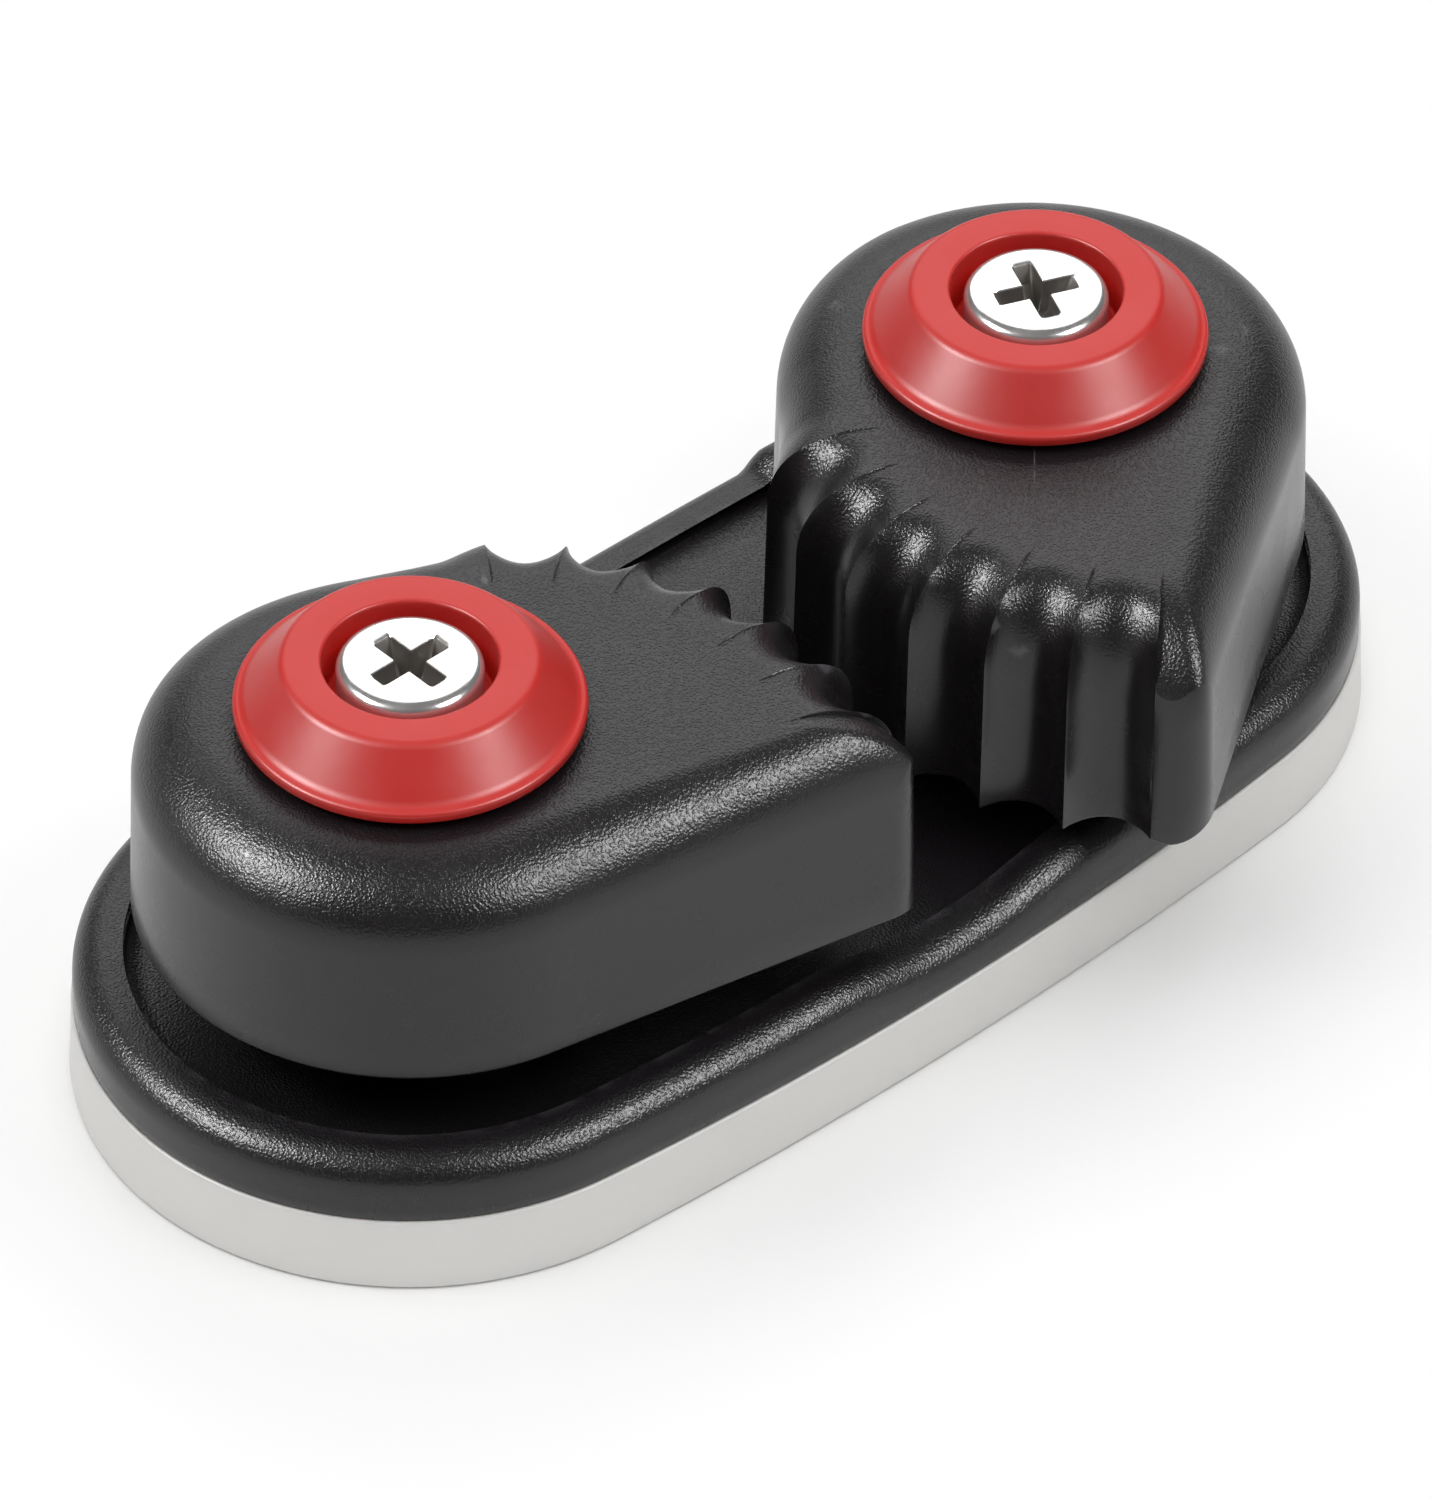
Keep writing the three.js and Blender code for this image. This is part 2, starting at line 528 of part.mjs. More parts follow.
/** Pan head screw with a cross recess. */
function screw() {
  const body = turned([
    [0, SCREW_TIP_HEIGHT],
    [SCREW_RADIUS - SCREW_TIP_TAPER, SCREW_TIP_HEIGHT],
    [SCREW_RADIUS, SCREW_TIP_HEIGHT + SCREW_TIP_LENGTH],
    [SCREW_RADIUS, HEAD_BOTTOM],
    [SCREW_HEAD_RADIUS - HEAD_LOWER_CHAMFER, HEAD_BOTTOM],
    [SCREW_HEAD_RADIUS, HEAD_BOTTOM + HEAD_LOWER_CHAMFER],
    [SCREW_HEAD_RADIUS, SCREW_TOP - HEAD_UPPER_CHAMFER],
    [SCREW_HEAD_RADIUS - HEAD_UPPER_CHAMFER, SCREW_TOP],
    [0, SCREW_TOP],
  ], 24);
  // a four-sided wedge for each pair of arms, of full size where it meets the head's top
  const mouth = Math.SQRT2 * (1 + ((1 - RECESS_TAPER) * OVERCUT) / RECESS_DEPTH);
  const arms = [0, Math.PI / 2].map((turn) => {
    const arm = new THREE.CylinderGeometry(mouth, Math.SQRT2 * RECESS_TAPER, RECESS_DEPTH + OVERCUT, 4, 1);
    arm.rotateY(Math.PI / 4).rotateX(Math.PI / 2).scale(RECESS_ARM, RECESS_WIDTH / 2, 1);
    return arm.translate(0, 0, SCREW_TOP + (OVERCUT - RECESS_DEPTH) / 2).rotateZ(turn);
  });
  return cut(body, arms);
}

function hubCap() {
  return turned([
    [SCREW_HOLE_RADIUS, CAP_HUB_BOTTOM],
    [RACE_RADIUS - CAP_HUB_GAP, CAP_HUB_BOTTOM],
    [RACE_RADIUS - CAP_HUB_GAP, CAP_RIM_BOTTOM],
    [CAP_RIM_RADIUS - CAP_RIM_EDGE, CAP_RIM_BOTTOM],
    [CAP_RIM_RADIUS, CAP_RIM_BOTTOM + CAP_RIM_EDGE],
    [CAP_RIM_RADIUS, CAP_RIM_BOTTOM + CAP_RIM_HEIGHT - CAP_RIM_EDGE],
    [CAP_RIM_RADIUS - CAP_RIM_EDGE, CAP_RIM_BOTTOM + CAP_RIM_HEIGHT],
    [CAP_TOP_RADIUS, CAP_TOP],
    [CAP_WELL_RADIUS, CAP_TOP],
    [CAP_WELL_RADIUS, HEAD_BOTTOM - SEAT_GAP],
    [SCREW_HOLE_RADIUS, HEAD_BOTTOM - SEAT_GAP],
  ]);
}

// ---- assembly -----------------------------------------------------------------------------------
function addPiece(group, name, geometry, material) {
  const mesh = new THREE.Mesh(geometry, material);
  mesh.name = name;
  mesh.geometry.computeVertexNormals();
  group.add(mesh);
  return mesh;
}

/** One pivot with all that sits on it. The right side is the left side's mirror image. */
function pivotGroup(side, opening) {
  const handed = (body) => (side === 'left' ? body : mirrored(body));
  const swing = side === 'left' ? -opening : opening;
  const group = new THREE.Group();
  group.position.x = side === 'left' ? -HALF_SPACING : HALF_SPACING;

  addPiece(group, `cam_${side}`, handed(camBody()), MATERIALS.black).rotation.z = swing;
  addPiece(group, `torsion_spring_${side}`, handed(torsionSpring(SPRING_CAM_ANGLE - opening)),
    MATERIALS.springSteel);
  addPiece(group, `bush_${side}`, bush(), MATERIALS.steel);
  addPiece(group, `lower_washer_${side}`, washer(LOWER_WASHER_BOTTOM, BORE_RADIUS + WASHER_WIDTH),
    MATERIALS.acetal);
  addPiece(group, `upper_washer_${side}`, washer(UPPER_WASHER_BOTTOM, RACE_RADIUS - RUNNING_GAP),
    MATERIALS.acetal);
  addPiece(group, `ball_cage_${side}`, ballCage(), MATERIALS.cage);
  for (let i = 0; i < BALLS; i += 1) {
    const ball = new THREE.IcosahedronGeometry(BALL_RADIUS, 1);
    const mesh = addPiece(group, `ball_${side}_${i + 1}`, closedBody(ball), MATERIALS.acetal);
    mesh.position.set(BALL_TRACK * Math.cos(ballAngle(i)), BALL_TRACK * Math.sin(ballAngle(i)), BALL_HEIGHT);
  }
  addPiece(group, `hub_cap_${side}`, hubCap(), MATERIALS.red);
  addPiece(group, `screw_${side}`, screw(), MATERIALS.steel);
  return group;
}

const cleat = new THREE.Group();
cleat.name = 'cam_cleat';
addPiece(cleat, 'mounting_pad', mountingPad(), MATERIALS.white);
addPiece(cleat, 'base_plate', basePlate(), MATERIALS.black);
cleat.add(pivotGroup('left', LEFT_OPENING));
cleat.add(pivotGroup('right', RIGHT_OPENING));

export default cleat;
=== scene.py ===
"""Looks of a ball bearing cam cleat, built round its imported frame.

The cleat has a rimmed base plate on a pale mounting pad, and two sprung, toothed cams that turn on
steel bushes under red hub caps. Plan positions are worked out in millimetres about a cam's own pivot,
with both cams shut, and meshes are turned into metres when they are finished.
"""

import json
import logging
import math
from collections.abc import Callable, Sequence
from dataclasses import dataclass
from enum import Enum

import bmesh
import bpy
from mathutils import Matrix, Vector


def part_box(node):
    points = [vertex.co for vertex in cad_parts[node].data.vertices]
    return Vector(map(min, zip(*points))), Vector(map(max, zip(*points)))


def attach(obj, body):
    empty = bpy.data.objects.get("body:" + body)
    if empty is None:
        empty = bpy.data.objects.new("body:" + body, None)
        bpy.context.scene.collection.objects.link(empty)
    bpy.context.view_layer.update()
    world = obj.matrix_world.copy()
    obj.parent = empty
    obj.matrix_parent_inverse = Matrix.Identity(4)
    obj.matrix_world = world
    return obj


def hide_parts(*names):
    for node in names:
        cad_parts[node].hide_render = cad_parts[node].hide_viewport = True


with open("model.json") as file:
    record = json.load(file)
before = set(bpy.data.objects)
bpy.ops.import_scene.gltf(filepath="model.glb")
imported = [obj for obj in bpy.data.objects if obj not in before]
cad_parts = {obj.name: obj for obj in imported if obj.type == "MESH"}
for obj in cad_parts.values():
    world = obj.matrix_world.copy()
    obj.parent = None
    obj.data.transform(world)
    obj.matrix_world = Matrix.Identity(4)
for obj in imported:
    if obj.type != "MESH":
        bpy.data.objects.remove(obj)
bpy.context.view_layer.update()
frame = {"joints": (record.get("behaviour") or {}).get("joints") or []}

LOG = logging.getLogger("cam_cleat")
MM = 0.001

Plan = Sequence[Vector]
Profile = Sequence[tuple[float, float]]


class Side(Enum):
    """Which of the two pivots a piece belongs to."""

    LEFT = "left"
    RIGHT = "right"

    @property
    def sign(self) -> int:
        """The side of the cleat's middle, along X."""
        return -1 if self is Side.LEFT else 1


class Ends(Enum):
    """How the first and last ring of a lofted skin are closed."""

    FILLED = "filled"
    JOINED = "joined"
    POINTED = "pointed"


class Join(Enum):
    """What a tool does to the body that it meets."""

    CUT = "DIFFERENCE"
    ADD = "UNION"


class LightRole(Enum):
    """Whether a light is only mirrored in the surfaces or only lights them."""

    HIGHLIGHT = "highlight"
    FILL = "fill"


class Body(Enum):
    """The moving bodies of the frame that pieces ride on."""

    BASE = "base"
    CAM = "cam"
    BEARING = "bearing"

    def named(self, side: Side) -> str:
        """The frame's name for this body on one side."""
        return self.value if self is Body.BASE else f"{self.value}_{side.value}"


# ---- mesh work -----------------------------------------------------------------------------------


def polar(radius: float, angle: float) -> Vector:
    """Point of the plan at a radius and an angle in radians."""
    return Vector((radius * math.cos(angle), radius * math.sin(angle)))


def lerp(start: float, end: float, share: float) -> float:
    """Value between two values."""
    return start + (end - start) * share


def clamp(value: float) -> float:
    """Value limited to 0 to 1."""
    return min(1.0, max(0.0, value))


def smooth(value: float) -> float:
    """Smooth step from 0 to 1."""
    value = clamp(value)
    return value * value * (3 - 2 * value)


def shade(mesh: bpy.types.Mesh, sharp: float) -> None:
    """Shades a mesh smooth and marks its sharp edges.

    Args:
        mesh: The finished mesh.
        sharp: Least angle in degrees between two faces with a sharp edge.
    """
    mesh.shade_smooth()
    mesh.set_sharp_from_angle(angle=math.radians(sharp))


def loft(
    name: str, rings: Sequence[Sequence[Vector]], ends: Ends, sharp: float = 50,
) -> bpy.types.Mesh:
    """Skins rings of equally many points, given in millimetres.

    Args:
        name: Name of the mesh.
        rings: The rings, in order along the skin.
        ends: How the first and last ring are closed.
        sharp: Least angle of a sharp edge, in degrees.

    Returns:
        A closed mesh in metres.
    """
    work = bmesh.new()
    rows = [[work.verts.new(point) for point in ring] for ring in rings]
    pairs = list(zip(rows, rows[1:]))
    if ends is Ends.JOINED:
        pairs.append((rows[-1], rows[0]))
    for low, high in pairs:
        for i in range(len(low)):
            j = (i + 1) % len(low)
            work.faces.new((low[i], low[j], high[j], high[i]))
    if ends is Ends.FILLED:
        work.faces.new(tuple(reversed(rows[0])))
        work.faces.new(tuple(rows[-1]))
    bmesh.ops.remove_doubles(work, verts=list(work.verts), dist=1e-4)
    bmesh.ops.recalc_face_normals(work, faces=list(work.faces))
    mesh = bpy.data.meshes.new(name)
    work.to_mesh(mesh)
    work.free()
    mesh.transform(Matrix.Scale(MM, 4))
    shade(mesh, sharp)
    return mesh


@dataclass(frozen=True)
class Corner:
    """A corner of a turned section, and how far its rounding reaches along the two edges."""

    radius: float
    height: float
    ease: float = 0.0


def rounded(corners: Sequence[Corner], steps: int = 6) -> list[tuple[float, float]]:
    """Rounds the corners of a closed section.

    Args:
        corners: The section's corners, in order.
        steps: Number of steps in each rounding.

    Returns:
        Pairs of radius and height.
    """
    points: list[tuple[float, float]] = []
    for i, corner in enumerate(corners):
        here = Vector((corner.radius, corner.height))
        if corner.ease == 0:
            points.append(tuple(here))
            continue
        tangents = []
        for other in (corners[i - 1], corners[(i + 1) % len(corners)]):
            along = Vector((other.radius, other.height)) - here
            tangents.append(here + along.normalized() * min(corner.ease, 0.49 * along.length))
        for step in range(steps + 1):
            share = step / steps
            start = tangents[0].lerp(here, share)
            points.append(tuple(start.lerp(here.lerp(tangents[1], share), share)))
    return points


def revolve(
    name: str, profile: Profile, ends: Ends = Ends.JOINED, segments: int = 160,
) -> bpy.types.Mesh:
    """Turns a section about the Z axis.

    Args:
        name: Name of the mesh.
        profile: Pairs of radius and height in millimetres.
        ends: JOINED for a ring, POINTED for a section that starts and ends on the axis.
        segments: Number of steps round the axis.

    Returns:
        A closed mesh in metres.
    """
    turns = [2 * math.pi * i / segments for i in range(segments)]
    rings = []
    for radius, height in profile:
        rings.append([polar(radius, turn).to_3d() + Vector((0, 0, height)) for turn in turns])
    return loft(name, rings, ends, sharp=35)


def rod(radius: float, bottom: float, top: float, at: Vector, segments: int = 64) -> bpy.types.Mesh:
    """Plain round tool for cutting or adding, in millimetres about a point of the plan.

    Args:
        radius: Radius of the tool.
        bottom: Its lowest level.
        top: Its highest level.
        at: Its centre in the plan.
        segments: Number of steps round it.

    Returns:
        The tool in metres.
    """
    profile = [(0, bottom), (radius, bottom), (radius, top), (0, top)]
    mesh = revolve("tool", profile, Ends.POINTED, segments)
    mesh.transform(Matrix.Translation(at.to_3d() * MM))
    return mesh


def combined(
    body: bpy.types.Mesh, tools: Sequence[bpy.types.Mesh], join: Join, sharp: float = 35,
) -> bpy.types.Mesh:
    """Cuts tools out of a mesh, or adds them to it.

    Args:
        body: The mesh that is worked on.
        tools: Closed meshes, which are used up.
        join: Whether the tools cut or add.
        sharp: Least angle of a sharp edge, in degrees.

    Returns:
        The new mesh.
    """
    worked = bpy.data.objects.new("worked", body)
    bpy.context.scene.collection.objects.link(worked)
    helpers = []
    for tool in tools:
        helper = bpy.data.objects.new("helper", tool)
        bpy.context.scene.collection.objects.link(helper)
        helpers.append(helper)
        step = worked.modifiers.new("join", "BOOLEAN")
        step.operation = join.value
        step.solver = "EXACT"
        step.object = helper
    graph = bpy.context.evaluated_depsgraph_get()
    made = bpy.data.meshes.new_from_object(worked.evaluated_get(graph))
    made.name = body.name
    for thing in (worked, *helpers):
        bpy.data.objects.remove(thing)
    shade(made, sharp)
    return made


# ---- shader groups -------------------------------------------------------------------------------


@dataclass(frozen=True)
class Socket:
    """A named input or output of a shader group."""

    name: str
    kind: str = "NodeSocketFloat"
    value: float | None = None


class Sheet:
    """Thin writer of nodes into one node tree."""

    def __init__(self, tree: bpy.types.NodeTree) -> None:
        """Starts writing into a tree."""
        self.tree = tree

    def add(
        self, kind: str, inputs: dict[str | int, object] | None = None, **settings: object,
    ) -> bpy.types.Node:
        """Adds a node.

        Args:
            kind: The node's type.
            inputs: Values or output sockets for its inputs, by name or place.
            **settings: Properties of the node.

        Returns:
            The new node.
        """
        node = self.tree.nodes.new(kind)
        for key, value in settings.items():
            setattr(node, key, value)
        for key, value in (inputs or {}).items():
            if isinstance(value, bpy.types.NodeSocket):
                self.tree.links.new(value, node.inputs[key])
            else:
                node.inputs[key].default_value = value
        return node

    def math(
        self, operation: str, first: object, second: object = 0.0, clamped: bool = False,
    ) -> bpy.types.NodeSocket:
        """Adds a math node and returns its output."""
        node = self.add("ShaderNodeMath", {0: first, 1: second}, operation=operation, use_clamp=clamped)
        return node.outputs[0]

    def ramp(
        self, value: object, low: float, high: float, start: float = 0, end: float = 1,
    ) -> bpy.types.NodeSocket:
        """Maps low to high of a value onto start to end, smoothly, and returns the output."""
        inputs = {"Value": value, "From Min": low, "From Max": high, "To Min": start, "To Max": end}
        return self.add("ShaderNodeMapRange", inputs, interpolation_type="SMOOTHSTEP").outputs[0]

    def noise(
        self, vector: object, scale: object, detail: float = 2, rough: float = 0.5,
    ) -> bpy.types.NodeSocket:
        """Adds fractal noise and returns its value."""
        inputs = {"Vector": vector, "Scale": scale, "Detail": detail, "Roughness": rough}
        return self.add("ShaderNodeTexNoise", inputs).outputs["Fac"]


class ShaderGroup:
    """A shader group with named sockets, built once and placed in many materials."""

    title = "Group"
    inputs: tuple[Socket, ...] = ()
    outputs: tuple[Socket, ...] = ()

    def tree(self) -> bpy.types.NodeTree:
        """The group's node tree, built when it is first asked for.

        Returns:
            The node tree.
        """
        found = bpy.data.node_groups.get(self.title)
        if found:
            return found
        tree = bpy.data.node_groups.new(self.title, "ShaderNodeTree")
        for way, sockets in (("INPUT", self.inputs), ("OUTPUT", self.outputs)):
            for socket in sockets:
                made = tree.interface.new_socket(socket.name, in_out=way, socket_type=socket.kind)
                if socket.value is not None:
                    made.default_value = socket.value
        sheet = Sheet(tree)
        start = sheet.add("NodeGroupInput")
        self.fill(sheet, start.outputs, sheet.add("NodeGroupOutput"))
        return tree

    def fill(self, sheet: Sheet, given: bpy.types.NodeOutputs, out: bpy.types.Node) -> None:
        """Writes the group's nodes.

        Args:
            sheet: Writer of the group's tree.
            given: The group's inputs, by name.
            out: The group's output node.
        """
        raise NotImplementedError

    def place(self, sheet: Sheet, **values: object) -> bpy.types.Node:
        """Places the group in a tree, with a value for each input, named with _ for spaces."""
        named = {key.replace("_", " "): value for key, value in values.items()}
        return sheet.add("ShaderNodeGroup", named, node_tree=self.tree())


class LeatherGrain(ShaderGroup):
    """Spark-eroded leather grain: small rounded pebbles with soft valleys between them."""

    title = "Leather grain"
    inputs = (
        Socket("Vector", "NodeSocketVector"),
        Socket("Pebbles per metre", value=3600),
        Socket("Depth", value=1),
    )
    outputs = (Socket("Height"),)

    def fill(self, sheet: Sheet, given: bpy.types.NodeOutputs, out: bpy.types.Node) -> None:
        """Writes pebbles that are bent by coarse noise and broken up by fine noise.

        Args:
            sheet: Writer of the group's tree.
            given: The group's inputs, by name.
            out: The group's output node.
        """
        per_metre = given["Pebbles per metre"]
        coarse = sheet.math("MULTIPLY", per_metre, 0.6)
        bend = sheet.add("ShaderNodeTexNoise", {"Vector": given["Vector"], "Scale": coarse, "Detail": 2.0})
        bent = sheet.add(
            "ShaderNodeMixRGB", {"Fac": 0.00012, "Color1": given["Vector"], "Color2": bend.outputs["Color"]},
            blend_type="ADD")
        cells = sheet.add(
            "ShaderNodeTexVoronoi", {"Vector": bent.outputs[0], "Scale": per_metre, "Smoothness": 0.6},
            feature="SMOOTH_F1")
        pebble = sheet.ramp(cells.outputs["Distance"], 0.05, 0.75, 1, 0)
        fine = sheet.noise(given["Vector"], sheet.math("MULTIPLY", per_metre, 2.2), 3, 0.6)
        both = sheet.math("ADD", pebble, sheet.math("MULTIPLY", fine, 0.55))
        sheet.tree.links.new(sheet.math("MULTIPLY", both, given["Depth"]), out.inputs["Height"])


class EdgeWearAndGlint(ShaderGroup):
    """Mask of outer edges, polished by handling and used for a painted glint along sharp crests, broken up by
    noise.
    """

    title = "Edge wear"
    inputs = (
        Socket("Vector", "NodeSocketVector"),
        Socket("Amount", value=0.5),
        Socket("Breaks per metre", value=900),
    )
    outputs = (Socket("Mask"),)

    def fill(self, sheet: Sheet, given: bpy.types.NodeOutputs, out: bpy.types.Node) -> None:
        """Writes a mask of convex places.

        Args:
            sheet: Writer of the group's tree.
            given: The group's inputs, by name.
            out: The group's output node.
        """
        bulge = sheet.add("ShaderNodeNewGeometry").outputs["Pointiness"]
        edge = sheet.ramp(bulge, 0.55, 0.66)
        broken = sheet.ramp(sheet.noise(given["Vector"], given["Breaks per metre"], 4), 0.35, 0.65)
        worn_and_glinting = sheet.math("MULTIPLY", edge, sheet.math("MULTIPLY", broken, given["Amount"]))
        sheet.tree.links.new(worn_and_glinting, out.inputs["Mask"])


class Blotch(ShaderGroup):
    """Slow and fine variation of a moulded or turned surface, for colour and gloss."""

    title = "Blotch"
    inputs = (
        Socket("Vector", "NodeSocketVector"),
        Socket("Spots per metre", value=250),
        Socket("Low", value=0.9),
        Socket("High", value=1.1),
    )
    outputs = (Socket("Value"),)

    def fill(self, sheet: Sheet, given: bpy.types.NodeOutputs, out: bpy.types.Node) -> None:
        """Writes noise mapped between the low and high value.

        Args:
            sheet: Writer of the group's tree.
            given: The group's inputs, by name.
            out: The group's output node.
        """
        spots = sheet.noise(given["Vector"], given["Spots per metre"], 5, 0.6)
        inputs = {
            "Value": spots, "From Min": 0.3, "From Max": 0.7, "To Min": given["Low"], "To Max": given["High"]}
        node = sheet.add("ShaderNodeMapRange", inputs)
        sheet.tree.links.new(node.outputs[0], out.inputs["Value"])


class TopFace(ShaderGroup):
    """Mask of the surfaces that look up, from low to high slope."""

    title = "Top face"
    inputs = (Socket("From slope", value=0.3), Socket("To slope", value=0.8))
    outputs = (Socket("Mask"),)

    def fill(self, sheet: Sheet, given: bpy.types.NodeOutputs, out: bpy.types.Node) -> None:
        """Writes a mask from the height of the surface's own direction.

        Args:
            sheet: Writer of the group's tree.
            given: The group's inputs, by name.
            out: The group's output node.
        """
        facing = sheet.add("ShaderNodeSeparateXYZ", {0: sheet.add("ShaderNodeNewGeometry").outputs["Normal"]})
        inputs = {
            "Value": facing.outputs["Z"], "From Min": given["From slope"], "From Max": given["To slope"]}
        node = sheet.add("ShaderNodeMapRange", inputs, interpolation_type="SMOOTHSTEP")
        sheet.tree.links.new(node.outputs[0], out.inputs["Mask"])


class Dust(ShaderGroup):
    """Mask of fine specks that settle on surfaces that look up."""

    title = "Dust"
    inputs = (
        Socket("Vector", "NodeSocketVector"),
        Socket("Amount", value=0.1),
        Socket("Specks per metre", value=2200),
    )
    outputs = (Socket("Mask"),)

    def fill(self, sheet: Sheet, given: bpy.types.NodeOutputs, out: bpy.types.Node) -> None:
        """Writes the brightest peaks of fine noise, kept to upward faces.

        Args:
            sheet: Writer of the group's tree.
            given: The group's inputs, by name.
            out: The group's output node.
        """
        specks = sheet.ramp(sheet.noise(given["Vector"], given["Specks per metre"], 2), 0.68, 0.8)
        up = TopFace().place(sheet, From_slope=0.2, To_slope=0.9).outputs["Mask"]
        mask = sheet.math("MULTIPLY", specks, sheet.math("MULTIPLY", up, given["Amount"]))
        sheet.tree.links.new(mask, out.inputs["Mask"])


class TurnedLines(ShaderGroup):
    """Fine rings that a lathe leaves round the Z axis of a piece."""

    title = "Turned lines"
    inputs = (Socket("Vector", "NodeSocketVector"), Socket("Rings per metre", value=9000))
    outputs = (Socket("Height"),)

    def fill(self, sheet: Sheet, given: bpy.types.NodeOutputs, out: bpy.types.Node) -> None:
        """Writes one-dimensional noise of the distance from the axis.

        Args:
            sheet: Writer of the group's tree.
            given: The group's inputs, by name.
            out: The group's output node.
        """
        flat = sheet.add("ShaderNodeVectorMath", {0: given["Vector"], 1: (1, 1, 0)}, operation="MULTIPLY")
        away = sheet.add("ShaderNodeVectorMath", {0: flat.outputs[0]}, operation="LENGTH").outputs["Value"]
        rings = sheet.add(
            "ShaderNodeTexNoise", {"W": away, "Scale": given["Rings per metre"], "Detail": 2.0},
            noise_dimensions="1D")
        sheet.tree.links.new(rings.outputs["Fac"], out.inputs["Height"])


# ---- finishes ------------------------------------------------------------------------------------

Colour = tuple[float, float, float, float]


@dataclass(frozen=True)
class Finish:
    """What every finish has: a name, a colour and a gloss."""

    name: str
    colour: Colour
    roughness: float

    def material(self) -> bpy.types.Material:
        """The finish as a material, built when it is first asked for.

        Returns:
            The material.
        """
        found = bpy.data.materials.get(self.name)
        if found:
            return found
        made = bpy.data.materials.new(self.name)
        made.use_nodes = True
        made.diffuse_color = self.colour
        sheet = Sheet(made.node_tree)
        shader = made.node_tree.nodes["Principled BSDF"]
        vector = sheet.add("ShaderNodeTexCoord").outputs["Object"]
        self.write(sheet, shader, vector)
        return made

    def write(self, sheet: Sheet, shader: bpy.types.Node, vector: bpy.types.NodeSocket) -> None:
        """Writes the finish's nodes.

        Args:
            sheet: Writer of the material's tree.
            shader: The material's own shader.
            vector: Coordinates of the piece.
        """
        raise NotImplementedError

    def bump(self, sheet: Sheet, shader: bpy.types.Node, height: bpy.types.NodeSocket, depth: float) -> None:
        """Feeds a height of so many metres to the shader's normal."""
        node = sheet.add("ShaderNodeBump", {"Strength": 1.0, "Distance": depth, "Height": height})
        sheet.tree.links.new(node.outputs["Normal"], shader.inputs["Normal"])

    def tint(self, sheet: Sheet, shader: bpy.types.Node, base: object, over: Colour, mask: object) -> None:
        """Mixes a second colour over the base colour where a mask says so."""
        mix = sheet.add("ShaderNodeMixRGB", {"Fac": mask, "Color1": base, "Color2": over})
        sheet.tree.links.new(mix.outputs[0], shader.inputs["Base Color"])


@dataclass(frozen=True)
class Moulded(Finish):
    """Moulded plastic with leather grain on the faces that look up and smooth walls."""

    grain_depth: float = 0.000016
    grain_floor: float = 0.05
    pebbles: float = 7600.0
    # Strength and colour of the paler sharp edges: partly polish from handling, partly a painted glint along
    # crests and upright edges. Dust takes the same colour.
    wear_and_glint: float = 0.45
    dust: float = 0.05
    worn_and_glinting: Colour = (0.16, 0.15, 0.16, 1)

    def write(self, sheet: Sheet, shader: bpy.types.Node, vector: bpy.types.NodeSocket) -> None:
        """Writes grain, polished edges that also carry a painted glint, dust and uneven gloss.

        Args:
            sheet: Writer of the material's tree.
            shader: The material's own shader.
            vector: Coordinates of the piece.
        """
        up = TopFace().place(sheet, From_slope=0.1, To_slope=0.75).outputs["Mask"]
        share = sheet.math("ADD", sheet.math("MULTIPLY", up, 1 - self.grain_floor), self.grain_floor)
        grain = LeatherGrain().place(sheet, Vector=vector, Pebbles_per_metre=self.pebbles, Depth=share)
        self.bump(sheet, shader, grain.outputs["Height"], self.grain_depth)
        worn_and_glinting = EdgeWearAndGlint().place(sheet, Vector=vector, Amount=self.wear_and_glint).outputs["Mask"]
        dust = Dust().place(sheet, Vector=vector, Amount=self.dust).outputs["Mask"]
        # Sharp edges and dust get the paler colour; on the edges it is partly a painted glint.
        self.tint(sheet, shader, self.colour, self.worn_and_glinting, sheet.math("MAXIMUM", worn_and_glinting, dust))
        gloss = Blotch().place(
            sheet, Vector=vector, Low=self.roughness * 0.9, High=self.roughness * 1.12).outputs["Value"]
        rough = sheet.math("ADD", gloss, sheet.math("MULTIPLY", up, 0.06))
        sheet.tree.links.new(rough, shader.inputs["Roughness"])


@dataclass(frozen=True)
class SmoothPlastic(Finish):
    """Smooth moulded plastic, with slow variation of colour and gloss and a faint skin."""

    skin_depth: float = 0.000004
    skin: float = 1800.0
    light_through: float = 0.0
    reach: float = 0.001
    shade: Colour = (0.4, 0.4, 0.4, 1)
    wear_and_glint: float = 0.15

    def write(self, sheet: Sheet, shader: bpy.types.Node, vector: bpy.types.NodeSocket) -> None:
        """Writes the skin, the uneven colour and the polished edges.

        Args:
            sheet: Writer of the material's tree.
            shader: The material's own shader.
            vector: Coordinates of the piece.
        """
        skin = sheet.noise(vector, self.skin, 3, 0.55)
        self.bump(sheet, shader, skin, self.skin_depth)
        blotch = Blotch().place(
            sheet, Vector=vector, Spots_per_metre=180.0, Low=0.0, High=0.3).outputs["Value"]
        worn_and_glinting = EdgeWearAndGlint().place(sheet, Vector=vector, Amount=self.wear_and_glint).outputs["Mask"]
        self.tint(sheet, shader, self.colour, self.shade, sheet.math("ADD", blotch, worn_and_glinting, clamped=True))
        gloss = Blotch().place(
            sheet, Vector=vector, Low=self.roughness * 0.9, High=self.roughness * 1.12).outputs["Value"]
        sheet.tree.links.new(gloss, shader.inputs["Roughness"])
        if self.light_through:
            shader.inputs["Subsurface Weight"].default_value = self.light_through
            shader.inputs["Subsurface Scale"].default_value = self.reach
            shader.inputs["Subsurface Radius"].default_value = (1.0, 0.85, 0.7)


